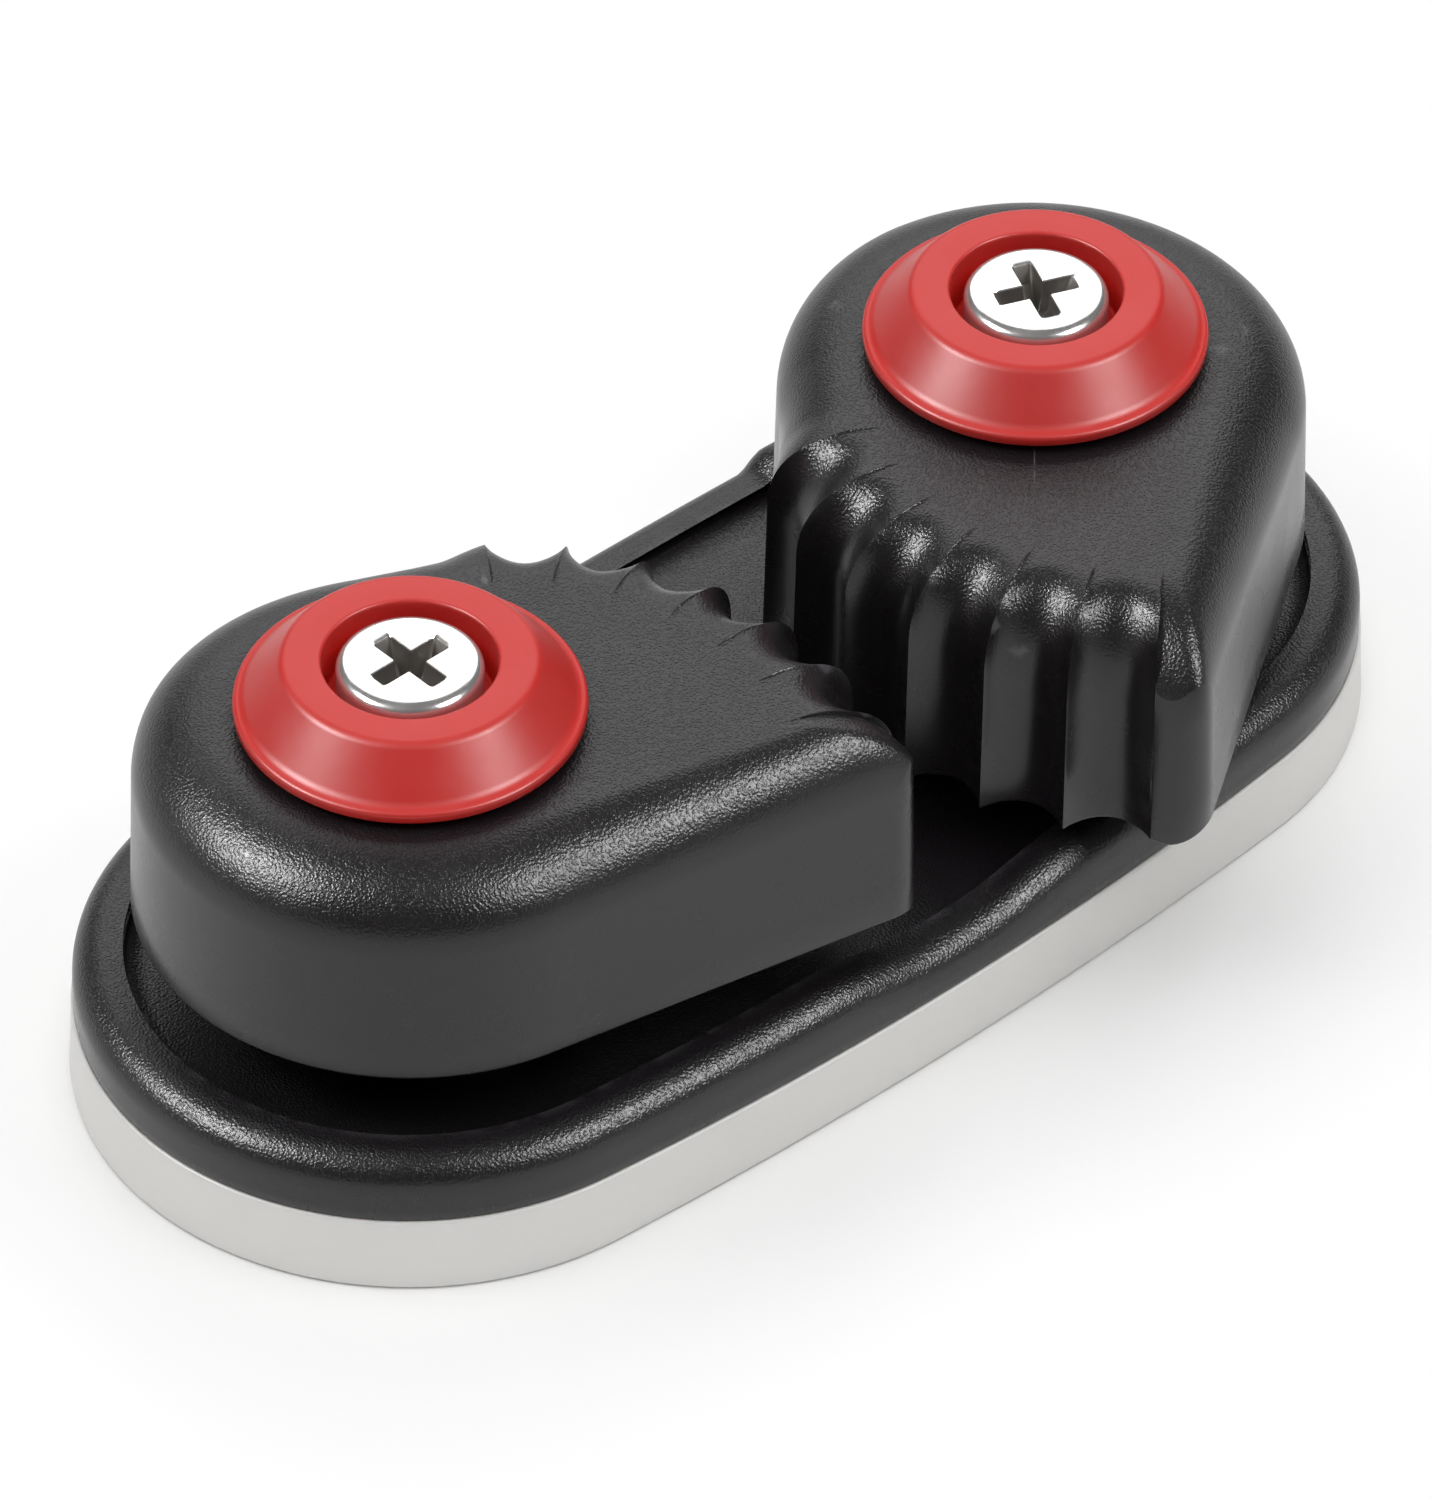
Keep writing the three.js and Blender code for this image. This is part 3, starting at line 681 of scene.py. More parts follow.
@dataclass(frozen=True)
class Turned(Finish):
    """Bright metal with the rings that turning leaves."""

    line_depth: float = 0.0000012
    scuffs: float = 0.2
    # Colour painted into hollows and recesses as shade.
    hollow_shade_colour: Colour = (0.36, 0.34, 0.33, 1)

    def write(self, sheet: Sheet, shader: bpy.types.Node, vector: bpy.types.NodeSocket) -> None:
        """Writes the rings, fine scuffs and painted shade in the bottom of recesses.

        Args:
            sheet: Writer of the material's tree.
            shader: The material's own shader.
            vector: Coordinates of the piece.
        """
        shader.inputs["Metallic"].default_value = 0.82
        lines = TurnedLines().place(sheet, Vector=vector).outputs["Height"]
        self.bump(sheet, shader, lines, self.line_depth)
        # Concave places take the darker colour: painted shade in hollows and recesses.
        hollow = sheet.ramp(sheet.add("ShaderNodeNewGeometry").outputs["Pointiness"], 0.4, 0.5, 1, 0)
        hollow_shade = sheet.math("MULTIPLY", hollow, 0.8)
        self.tint(sheet, shader, self.colour, self.hollow_shade_colour, hollow_shade)
        gloss = Blotch().place(
            sheet, Vector=vector, Spots_per_metre=700.0, Low=self.roughness * (1 - self.scuffs),
            High=self.roughness * (1 + self.scuffs)).outputs["Value"]
        sheet.tree.links.new(gloss, shader.inputs["Roughness"])


@dataclass(frozen=True)
class Backdrop(Finish):
    """Plain matt paper."""

    def write(self, sheet: Sheet, shader: bpy.types.Node, vector: bpy.types.NodeSocket) -> None:
        """Writes an even matt colour with a barely visible tooth.

        Args:
            sheet: Writer of the material's tree.
            shader: The material's own shader.
            vector: Coordinates of the piece.
        """
        shader.inputs["Base Color"].default_value = self.colour
        shader.inputs["Roughness"].default_value = self.roughness
        self.bump(sheet, shader, sheet.noise(vector, 400.0), 0.00002)


BLACK_NYLON = Moulded("Black nylon", (0.009, 0.0075, 0.0088, 1), 0.27)
RED_ACETAL = SmoothPlastic(
    "Red acetal", (0.56, 0.014, 0.009, 1), 0.4, shade=(0.5, 0.011, 0.008, 1),
    light_through=0.05, reach=0.0005)
PALE_NYLON = SmoothPlastic(
    "Pale nylon", (0.83, 0.815, 0.79, 1), 0.45, shade=(0.77, 0.75, 0.72, 1),
    light_through=0.35, reach=0.0018)
STAINLESS = Turned("Stainless steel", (0.86, 0.85, 0.84, 1), 0.2)
# Darker, rougher steel for the screws' cross recesses: its darkness is painted shade, and its own hollows are
# painted darker still.
RECESS_SHADE_STEEL = Turned("Recess shade steel", (0.24, 0.225, 0.21, 1), 0.42, hollow_shade_colour=(0.05, 0.045, 0.04, 1))
SPRING_WIRE = Turned("Spring wire", (0.55, 0.55, 0.57, 1), 0.3)
WHITE_ACETAL = SmoothPlastic("White acetal", (0.85, 0.84, 0.79, 1), 0.38, shade=(0.78, 0.76, 0.7, 1))
GREY_NYLON = SmoothPlastic("Grey nylon", (0.05, 0.05, 0.055, 1), 0.5, shade=(0.035, 0.035, 0.04, 1))
PAPER = Backdrop("Paper", (0.93, 0.93, 0.93, 1), 0.7)


# ---- where things are ----------------------------------------------------------------------------


@dataclass(frozen=True)
class Pivot:
    """One pivot of the cleat: where it is and how far its cam is held open."""

    side: Side
    x: float
    opening: float

    @classmethod
    def from_frame(cls, side: Side) -> "Pivot":
        """Reads a pivot from the frame's joint, whose lower stop is the shut cam."""
        joint = next(joint for joint in frame["joints"] if joint["name"] == f"cam_{side.value}_swing")
        return cls(side, joint["pos_m"][0] / MM, math.radians(-joint["range_deg"][0]))

    @property
    def swing(self) -> float:
        """Turn about Z of the cam from shut to where it is held."""
        return self.opening * self.side.sign


class Piece:
    """Puts a mesh in the scene as a named piece."""

    @staticmethod
    def show(
        mesh: bpy.types.Mesh, name: str, finish: Finish, body: str, replaces: str, slot: str,
        x: float = 0.0,
    ) -> bpy.types.Object:
        """Makes an object that stands for a node of the frame.

        Args:
            mesh: Mesh about the piece's own place.
            name: The piece's name.
            finish: Its finish.
            body: The body that it rides on.
            replaces: The node that it stands for.
            slot: The record's material slot; not used.
            x: Where the piece is along X, in millimetres.

        Returns:
            The object.
        """
        thing = bpy.data.objects.new(name, mesh)
        bpy.context.scene.collection.objects.link(thing)
        thing.location.x = x * MM
        mesh.materials.clear()
        mesh.materials.append(finish.material())
        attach(thing, body)
        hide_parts(replaces)
        LOG.info("%s: %d faces on %s", name, len(mesh.polygons), body)
        return thing


def heights(node: str) -> tuple[float, float]:
    """Lowest and highest level of a frame node, in millimetres."""
    low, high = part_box(node)
    return low.z / MM, high.z / MM


# ---- base and pad --------------------------------------------------------------------------------


@dataclass(frozen=True)
class Outline:
    """Outline of two end circles and two bulging sides, all tangent."""

    half_length: float
    radius: float
    near_bulge: float
    far_bulge: float
    end_steps: int = 60
    side_steps: int = 90

    def side(self, bulge: float) -> tuple[float, float]:
        """Depth of a side's centre below the middle, and the side's angle where it meets an end."""
        depth = (self.half_length**2 - bulge**2) / (2 * bulge)
        return depth, math.atan2(self.half_length, depth)

    def points(self, inset: float = 0.0) -> list[Vector]:
        """The outline moved in by an inset, counter-clockwise.

        Args:
            inset: How far in from the outline.

        Returns:
            The points of the plan.
        """
        radius = self.radius - inset
        points = []
        sides = ((0.0, self.far_bulge, self.near_bulge), (math.pi, self.near_bulge, self.far_bulge))
        for turn, ahead, behind in sides:
            depth, lean = self.side(ahead)
            last_lean = self.side(behind)[1]
            for i in range(self.end_steps):
                angle = lerp(last_lean - math.pi / 2, math.pi / 2 - lean, i / self.end_steps)
                points.append((polar(radius, angle) + Vector((self.half_length, 0)), turn))
            for i in range(self.side_steps):
                angle = math.pi / 2 - lerp(lean, -lean, i / self.side_steps)
                points.append((polar(depth + radius + ahead, angle) - Vector((0, depth)), turn))
        return [Matrix.Rotation(turn, 2) @ point for point, turn in points]


@dataclass
class MountingPad:
    """Pale pad that fills the gap under the base and flares out to the deck."""

    pivots: tuple[Pivot, Pivot]
    foot_offset: float = 0.1
    foot_radius: float = 15.4
    foot_bulges: tuple[float, float] = (0.8, 0.35)
    top_offset: float = 0.2
    top_radius: float = 15.2
    top_bulges: tuple[float, float] = (1.1, 0.5)
    edge: float = 0.3
    hole_radius: float = 1.95

    def mesh(self) -> bpy.types.Mesh:
        """The pad, with its edges eased and its two screw holes.

        Returns:
            The mesh.
        """
        bottom, top = heights("mounting_pad")
        reach = self.pivots[1].x
        foot = Outline(reach + self.foot_offset, self.foot_radius, *self.foot_bulges)
        crown = Outline(reach + self.top_offset, self.top_radius, *self.top_bulges)
        turns = [math.radians(15 * i) for i in range(7)]
        levels = [(self.edge * (1 - math.sin(a)), bottom + self.edge * (1 - math.cos(a))) for a in turns]
        levels += [(0.0, lerp(bottom, top, share)) for share in (0.3, 0.45, 0.6, 0.75)]
        eased = self.edge / 2
        levels += [(eased * (1 - math.cos(a)), top - eased * (1 - math.sin(a))) for a in turns]
        rings = []
        for inset, height in levels:
            share = (height - bottom) / (top - bottom)
            flare = 1 - (1 - share) ** 1.5
            outer = zip(foot.points(inset), crown.points(inset))
            rings.append([low.lerp(high, flare).to_3d() + Vector((0, 0, height)) for low, high in outer])
        body = loft("mounting_pad", rings, Ends.FILLED)
        holes = [rod(self.hole_radius, bottom - 1, top + 1, Vector((pivot.x, 0))) for pivot in self.pivots]
        return combined(body, holes, Join.CUT)

    def build(self) -> None:
        """Shows the pad."""
        Piece.show(
            self.mesh(), "pad", PALE_NYLON, Body.BASE.named(Side.LEFT), "mounting_pad", "white_plastic")


@dataclass
class BasePlate:
    """Black base: a floor, a rolled rim that is high round the ends, and two bosses."""

    pivots: tuple[Pivot, Pivot]
    end_offset: float = 0.2
    end_radius: float = 15.1
    bulges: tuple[float, float] = (1.1, 0.45)
    floor: float = 1.5
    lip: float = 2.3
    rim: float = 3.1
    rim_width: float = 2.3
    rim_rounding: float = 1.6
    inner_rounding: float = 0.6
    fillet: float = 1.1
    edge: float = 0.12
    far_step: tuple[float, float] = (14.6, 1.4)
    near_step: tuple[float, float] = (1.0, 7.0)
    boss_radius: float = 7.6
    hole_radius: float = 3.0

    def crest(self, point: Vector) -> float:
        """Height of the rim's crest above the base's underside at a point of the outline."""
        start, length = self.far_step if point.y > 0 else self.near_step
        return lerp(self.lip, self.rim, smooth((abs(point.x) - start) / length))

    def section(self, crest: float) -> list[tuple[float, float]]:
        """The rim's section from the underside over the crest to the floor.

        Args:
            crest: Height of the crest above the underside.

        Returns:
            Pairs of inset from the outline and height above the underside.
        """
        quarter = [math.radians(9 * i) for i in range(11)]
        step = crest - self.floor
        outer = self.rim_rounding
        inner, fillet = min(self.inner_rounding, 0.4 * step), min(self.fillet, 0.55 * step)
        points = [(self.edge, 0.0), (self.edge * 0.3, self.edge * 0.3), (0.0, self.edge)]
        points += [(0.0, lerp(self.edge, crest - outer, share)) for share in (0.33, 0.66)]
        points += [(outer * (1 - math.cos(a)), crest - outer * (1 - math.sin(a))) for a in quarter]
        wall, wide = self.rim_width, self.inner_rounding
        points += [
            (wall - wide * math.cos(a), crest - inner * (1 - math.sin(a))) for a in reversed(quarter)]
        bottom = self.floor + fillet
        points += [(wall, lerp(crest - inner, bottom, 0.5))]
        points += [
            (wall + self.fillet * (1 - math.cos(a)), bottom - fillet * math.sin(a)) for a in quarter]
        return points

    def mesh(self) -> bpy.types.Mesh:
        """The base with its bosses and bores.

        Returns:
            The mesh.
        """
        bottom, top = heights("base_plate")
        outline = Outline(self.pivots[1].x + self.end_offset, self.end_radius, *self.bulges)
        crests = [self.crest(point) for point in outline.points()]
        sections = [self.section(crest) for crest in crests]
        rings = []
        for place in range(len(sections[0])):
            ring = outline.points(sections[0][place][0])
            rings.append([
                point.to_3d() + Vector((0, 0, bottom + section[place][1]))
                for point, section in zip(ring, sections)])
        body = loft("base_plate", rings, Ends.FILLED)
        centres = [Vector((pivot.x, 0)) for pivot in self.pivots]
        bosses = [rod(self.boss_radius, bottom + self.floor / 2, top, centre, 96) for centre in centres]
        body = combined(body, bosses, Join.ADD)
        bores = [rod(self.hole_radius, bottom - 1, top + 1, centre) for centre in centres]
        return combined(body, bores, Join.CUT)

    def build(self) -> None:
        """Shows the base."""
        Piece.show(
            self.mesh(), "base", BLACK_NYLON, Body.BASE.named(Side.LEFT), "base_plate", "black_plastic")


# ---- cams ----------------------------------------------------------------------------------------


def quarter(share: float, power: float = 2.0) -> float:
    """Drop of a rounded shoulder, from 0 where it begins to 1 where it is upright."""
    return 1 - max(0.0, 1 - clamp(share) ** power) ** (1 / power)


def deeper(first: float, second: float) -> float:
    """Joins two drops so that the deeper one wins and the seam between them is soft."""
    return (first**3 + second**3) ** (1 / 3)


@dataclass(frozen=True)
class Station:
    """One place along a cam's outline.

    Attributes:
        foot: Where the shoulder meets the wall.
        top: Where the shoulder leaves the flat top.
        outward: Direction of the wall.
        drop: Drop of the surface below the top, from the point and its share of the way in.
        rise: How high the skirt's edge is, from 0 under the teeth to 1 at the round end.
    """

    foot: Vector
    top: Vector
    outward: Vector
    drop: Callable[[Vector, float], float]
    rise: float = 0.0


@dataclass
class CamShape:
    """Shape of the left cam about its pivot, shut, with angle 0 towards the other cam."""

    half_spacing: float
    end_radius: float = 12.4
    shut_gap: float = 2.3
    heel_slim: float = 0.7
    growth: float = 0.331
    nose_tip: float = 1.85
    nose_gap: float = 0.4
    first_crest: float = math.radians(41.5)
    last_crest: float = math.radians(-32)
    heel_end: float = math.radians(68)
    nose_fillet: float = 1.6
    nose_foot_rounding: float = 0.5
    flutes: int = 6
    flute_depth: float = 1.35
    crest_edge: float = 0.08
    shoulder: float = 3.9
    top_margin: float = 0.5
    shoulder_drop: float = 3.5
    crest_reach: float = 5.1
    crest_drop: float = 3.9
    crest_power: float = 2.6
    root_reach: float = 3.2
    root_drop: float = 4.6
    front_reach: float = 5.6
    front_drop_height: float = 5.6
    ridge: float = 0.1
    draft: float = 0.15
    skirt_edge: float = 0.2

    def __post_init__(self) -> None:
        """Works out the lines that the outline is drawn from."""
        self.grip_radius = self.half_spacing - self.shut_gap / 2
        self.nose_radius = self.spiral(self.last_crest) + self.nose_tip
        nose_angle = -math.acos((self.half_spacing - self.nose_gap / 2) / self.nose_radius)
        self.side_angle = nose_angle - math.acos(self.end_radius / self.nose_radius)
        self.side_length = math.sqrt(self.nose_radius**2 - self.end_radius**2)
        self.side_out = polar(1, self.side_angle)
        self.side_along = polar(1, self.side_angle + math.pi / 2)
        self.nose = polar(self.nose_radius, nose_angle)
        crest, outward = self.grip(0)
        finish = crest - outward * self.crest_reach
        self.nose_shoulder = self.end_radius - finish.dot(self.side_out) - self.top_margin
        self.top_length = finish.dot(self.side_along)

    def spiral(self, angle: float) -> float:
        """Radius of the curve through the crests."""
        return self.grip_radius * math.exp(-self.growth * angle)

    def grip(self, share: float) -> tuple[Vector, Vector]:
        """Point on the curve through the crests and its outward direction, from the nose to the heel.

        Args:
            share: 0 at the nose and 1 at the heel.

        Returns:
            The point and the direction.
        """
        radius = lerp(self.spiral(self.last_crest), self.spiral(self.first_crest), share)
        angle = -math.log(radius / self.grip_radius) / self.growth
        return polar(radius, angle), polar(1, angle + math.atan(self.growth))

    def side_drop(self, point: Vector) -> float:
        """Drop of the long straight side's shoulder at a point of the plan.

        Args:
            point: The point of the plan.

        Returns:
            The drop.
        """
        along = point.dot(self.side_along)
        if along < -0.01:
            return 0.0
        width = lerp(self.shoulder, self.nose_shoulder, clamp(along / self.top_length))
        top_line = self.end_radius - width
        share = (point.dot(self.side_out) - top_line) / (self.end_radius - top_line)
        return self.shoulder_drop * quarter(share)

    def front_drop(self, point: Vector) -> float:
        """Drop of the nose's front at a point of the plan."""
        return self.front_drop_height * quarter(1 - (self.nose.x - point.x) / self.front_reach, 2.2)

    def nose_drop(self, point: Vector, share: float) -> float:
        """Drop of the side and the nose's front together, which dies out at the flat top."""
        return deeper(self.side_drop(point), self.front_drop(point)) * smooth(4 * (1 - share))

    def round_end(self, steps: int = 84) -> list[Station]:
        """The half-round end, from the heel to the straight side.

        Args:
            steps: Number of places.

        Returns:
            The places, counter-clockwise.
        """
        stations = []
        for i in range(steps):
            angle = lerp(self.heel_end, self.side_angle + 2 * math.pi, i / steps)
            out = polar(1, angle)
            radius = self.end_radius - self.heel_slim * (1 - smooth((angle - self.heel_end) / 1.1))
            stations.append(Station(
                out * radius, out * (radius - self.shoulder), out,
                lambda point, share: self.shoulder_drop * quarter(1 - share), smooth(i / 20)))
        return stations

    def straight_side(self, steps: int = 56) -> list[Station]:
        """The long straight side, up to the rounding of the nose.

        Args:
            steps: Number of places.

        Returns:
            The places, counter-clockwise.
        """
        length = self.side_length - self.nose_fillet * 1.52
        stations = []
        for i in range(steps):
            share = 1 - (1 - i / steps) ** 1.4
            foot = self.side_out * self.end_radius + self.side_along * (length * share)
            inner = self.end_radius - lerp(self.shoulder, self.nose_shoulder, share)
            top = self.side_out * inner + self.side_along * (self.top_length * share)
            stations.append(Station(foot, top, self.side_out, self.nose_drop, lerp(1, 0.6, share)))
        return stations

    def nose_end(self, turns: int = 12, steps: int = 8) -> list[Station]:
        """The rounded upright edge of the nose and the narrow face between it and the last crest.

        Args:
            turns: Number of steps round the edge.
            steps: Number of steps of the face.

        Returns:
            The places, counter-clockwise.
        """
        crest, crest_out = self.grip(0)
        face = (crest - self.nose).normalized()
        face_out = Vector((face.y, -face.x))
        half = math.acos((-self.side_along).dot(face)) / 2
        reach = self.nose_fillet / math.tan(half)
        centre = self.nose - self.side_along * reach - self.side_out * self.nose_fillet
        start, end = self.side_angle, math.atan2(face_out.y, face_out.x)
        places = []
        for i in range(turns + 1):
            out = polar(1, lerp(start, end, i / turns))
            places.append((centre + out * self.nose_fillet, out))
        first = places[-1][0]
        for i in range(1, steps):
            share = math.sin(math.pi / 2 * i / steps)
            places.append((first.lerp(crest, share), face_out.lerp(crest_out, share**3).normalized()))
        inner = self.end_radius - self.nose_shoulder
        begin = self.side_out * inner + self.side_along * self.top_length
        finish = crest - crest_out * self.crest_reach
        stations = []
        for i, (foot, out) in enumerate(places):
            share = i / len(places)
            rise = 0.6 * (1 - smooth(share * 2))
            stations.append(Station(foot, begin.lerp(finish, share), out, self.nose_drop, rise))
        return stations

    def tooth_face(self, steps: int = 18) -> list[Station]:
        """The flutes and the sharp crests between them.

        Args:
            steps: Number of places in each flute.

        Returns:
            The places, counter-clockwise.
        """
        stations = []
        for i in range(self.flutes * steps + 1):
            phase = (1 - math.cos(math.pi * (i % steps) / steps)) / 2
            share = (i // steps + phase) / self.flutes
            bow = (4 * phase * (1 - phase)) ** 0.8
            depth = math.hypot(bow * self.flute_depth, self.crest_edge) - self.crest_edge
            crest, out = self.grip(min(share, 1.0))
            reach = self.crest_reach - depth
            foot, top = crest - out * depth, crest - out * self.crest_reach
            stations.append(Station(foot, top, out, self.flute_drop(reach, depth, bow)))
        return stations

    def flute_drop(self, reach: float, depth: float, bow: float) -> Callable[[Vector, float], float]:
        """Drop of the surface along one line from the wall of the teeth in to the flat top.

        Args:
            reach: Length of the line.
            depth: How far its foot is in from the crests.
            bow: 0 on a crest and 1 in the bottom of a flute.

        Returns:
            A function of the point and its share of the way in.
        """
        root = 1 - (1 - bow) ** 2.5
        rounding = lerp(self.crest_reach, self.root_reach, root)
        height = lerp(self.crest_drop, self.root_drop, root)
        power = lerp(self.crest_power, 2.0, root)

        def drop(point: Vector, share: float) -> float:
            """Drop at a point of the line, with the ridge behind a crest.

            Args:
                point: The point of the plan.
                share: The point's share of the way in.

            Returns:
                The drop.
            """
            inset = share * reach
            own = height * quarter(1 - inset / rounding, power)
            window = math.sin(math.pi * clamp((inset + depth - 2.4) / (self.crest_reach - 2.4)))
            side = self.side_drop(point) * smooth(4 * (1 - share))
            return deeper(own, side) - self.ridge * (1 - root) ** 3 * window

        return drop

    def heel(self, steps: int = 26) -> list[Station]:
        """The hollow between the first crest and the round end.

        Args:
            steps: Number of places.

        Returns:
            The places, counter-clockwise.
        """
        crest, crest_out = self.grip(1)
        inner = crest - crest_out * self.crest_reach
        inner_angle = math.atan2(inner.y, inner.x)
        stations = []
        for i in range(1, steps):
            share = (i / steps) ** 1.7
            angle = lerp(self.first_crest, self.heel_end, share)
            slim = self.end_radius - self.heel_slim
            radius = lerp(slim, crest.length, (1 - share) ** 2.6)
            top_radius = lerp(inner.length, slim - self.shoulder, share)
            out = polar(1, lerp(self.first_crest + math.atan(self.growth), angle, smooth(share * 2)))
            power = lerp(self.crest_power, 2.0, smooth(share * 3))
            height = lerp(self.crest_drop, self.shoulder_drop, smooth(share * 3))
            stations.append(Station(
                polar(radius, angle), polar(top_radius, lerp(inner_angle, self.heel_end, share)), out,
                lambda point, share, height=height, power=power: height * quarter(1 - share, power)))
        return stations

    def stations(self) -> list[Station]:
        """Every place along the outline, counter-clockwise."""
        return self.round_end() + self.straight_side() + self.nose_end() + self.tooth_face() + self.heel()


@dataclass
class Cam:
    """One cam: a grained top, broad shoulders, smooth walls, seven crests and a bored middle."""

    pivot: Pivot
    shape: CamShape
    shoulder_steps: int = 22
    skirt_height: float = 0.55
    race_radius: float = 6.0
    race_depth: float = 5.45
    bore_radius: float = 3.0
    groove_radii: tuple[float, float] = (5.05, 7.25)
    groove_height: float = 3.2
    end_rise: float = 0.6
    tooth_drop: float = 0.5

    def rings(self) -> list[list[Vector]]:
        """Rings of the cam's skin from the hub's underside round the outside and back down the bore.

        Returns:
            The rings, in order along the skin.
        """
        hub, top = heights(f"cam_{self.pivot.side.value}")
        bottom = hub + self.skirt_height
        shape, stations = self.shape, self.shape.stations()
        directions = self.directions(stations)
        inner, outer = self.groove_radii

        def circle(radius: float, height: float) -> list[Vector]:
            """A round ring with a point for each station."""
            return [polar(radius, turn).to_3d() + Vector((0, 0, height)) for turn in directions]

        def lift(station: Station) -> float:
            """How far the skirt's edge is above its level, rounded up at the nose.

            Args:
                station: The place along the outline.

            Returns:
                The lift.
            """
            away = clamp((station.foot - shape.nose).length / shape.nose_foot_rounding - 0.3)
            corner = shape.nose_foot_rounding * (1 - math.sqrt(1 - (1 - away) ** 2))
            return corner + lerp(-self.tooth_drop, self.end_rise, station.rise)

        rings = [circle(outer, bottom)]
        edge = shape.skirt_edge
        eased = ((edge, 0.0), (edge * 0.5, edge * 0.13), (edge * 0.13, edge * 0.5), (0.0, edge))
        for inset, height in eased:
            rings.append([
                (s.foot + s.outward * (shape.draft - inset)).to_3d()
                + Vector((0, 0, bottom + lift(s) + height))
                for s in stations])
        for share in (0.25, 0.5, 0.75):
            rings.append([
                (s.foot + s.outward * (shape.draft * (1 - share))).to_3d()
                + Vector((0, 0, lerp(bottom + lift(s) + edge, top - s.drop(s.foot, 0.0), share)))
                for s in stations])
        for step in range(self.shoulder_steps + 1):
            share = 1 - math.cos(math.pi / 2 * step / self.shoulder_steps)
            rings.append([
                s.foot.lerp(s.top, share).to_3d()
                + Vector((0, 0, top - s.drop(s.foot.lerp(s.top, share), share)))
                for s in stations])
        flat = circle(self.race_radius + 0.9, top)
        for share in (0.03, 0.5):
            rings.append([
                Vector((*s.top.lerp(point.xy, share), top)) for s, point in zip(stations, flat)])
        race = top - self.race_depth
        rings += [flat, circle(self.race_radius + 0.3, top), circle(self.race_radius, top - 0.1)]
        rings += [circle(self.race_radius, race), circle(self.bore_radius, race)]
        rings += [circle(self.bore_radius, hub), circle(inner, hub)]
        rings += [circle(inner, bottom + self.groove_height), circle(outer, bottom + self.groove_height)]
        return rings

    @staticmethod
    def directions(stations: Sequence[Station]) -> list[float]:
        """Finds the directions of the stations' top points, made to grow all the way round.

        Args:
            stations: The places along the outline.

        Returns:
            The directions from the pivot, in radians.
        """
        turns: list[float] = []
        for station in stations:
            turn = math.atan2(station.top.y, station.top.x)
            while turns and turn < turns[-1] - math.pi:
                turn += 2 * math.pi
            turns.append(max(turn, turns[-1] + 1e-3) if turns else turn)
        return turns

    def build(self) -> None:
        """Shows the cam, mirrored on the right and turned to where it is held."""
        side = self.pivot.side
        mesh = loft(f"cam_{side.value}", self.rings(), Ends.JOINED, sharp=46)
        if side is Side.RIGHT:
            mesh.transform(Matrix.Scale(-1, 4, Vector((1, 0, 0))))
            mesh.flip_normals()
        mesh.transform(Matrix.Rotation(self.pivot.swing, 4, "Z"))
        Piece.show(
            mesh, f"toothed_cam_{side.value}", BLACK_NYLON, Body.CAM.named(side), f"cam_{side.value}",
            "black_plastic", self.pivot.x)


# ---- caps, screws and bearings -------------------------------------------------------------------


@dataclass
class HubCap:
    """Red cap: a flat ring, a steep flank, a thin rim, a well for the screw and a hub into the cam."""

    pivot: Pivot
    rim_radius: float = 7.85
    top_radius: float = 5.68
    well_radius: float = 3.94
    hub_radius: float = 5.6
    hole_radius: float = 1.95
    rim_height: float = 0.55
    hub_drop: float = 0.8
    head_height: float = 2.35
    head_below: float = 0.15

    def mesh(self) -> bpy.types.Mesh:
        """The cap, turned from one section.

        Returns:
            The mesh.
        """
        bottom, top = heights(f"hub_cap_{self.pivot.side.value}")
        rim = bottom + self.hub_drop
        seat = top - self.head_below - self.head_height
        corners = [
            Corner(self.hole_radius, bottom, 0.1),
            Corner(self.hub_radius, bottom, 0.2),
            Corner(self.hub_radius, rim, 0.1),
            Corner(self.rim_radius, rim, 0.2),
            Corner(self.rim_radius + 0.02, rim + self.rim_height, 0.24),
            Corner(self.rim_radius - 0.42, rim + self.rim_height + 0.1, 0.3),
            Corner(self.top_radius, top, 0.3),
            Corner(self.well_radius, top, 0.16),
            Corner(self.well_radius - 0.08, seat, 0.2),
            Corner(self.hole_radius, seat, 0.1),
        ]
        return revolve("hub_cap", rounded(corners, 8), segments=220)

    def build(self) -> None:
        """Shows the cap."""
        side = self.pivot.side
        Piece.show(
            self.mesh(), f"cap_{side.value}", RED_ACETAL, Body.BASE.named(side), f"hub_cap_{side.value}",
            "red_plastic", self.pivot.x)


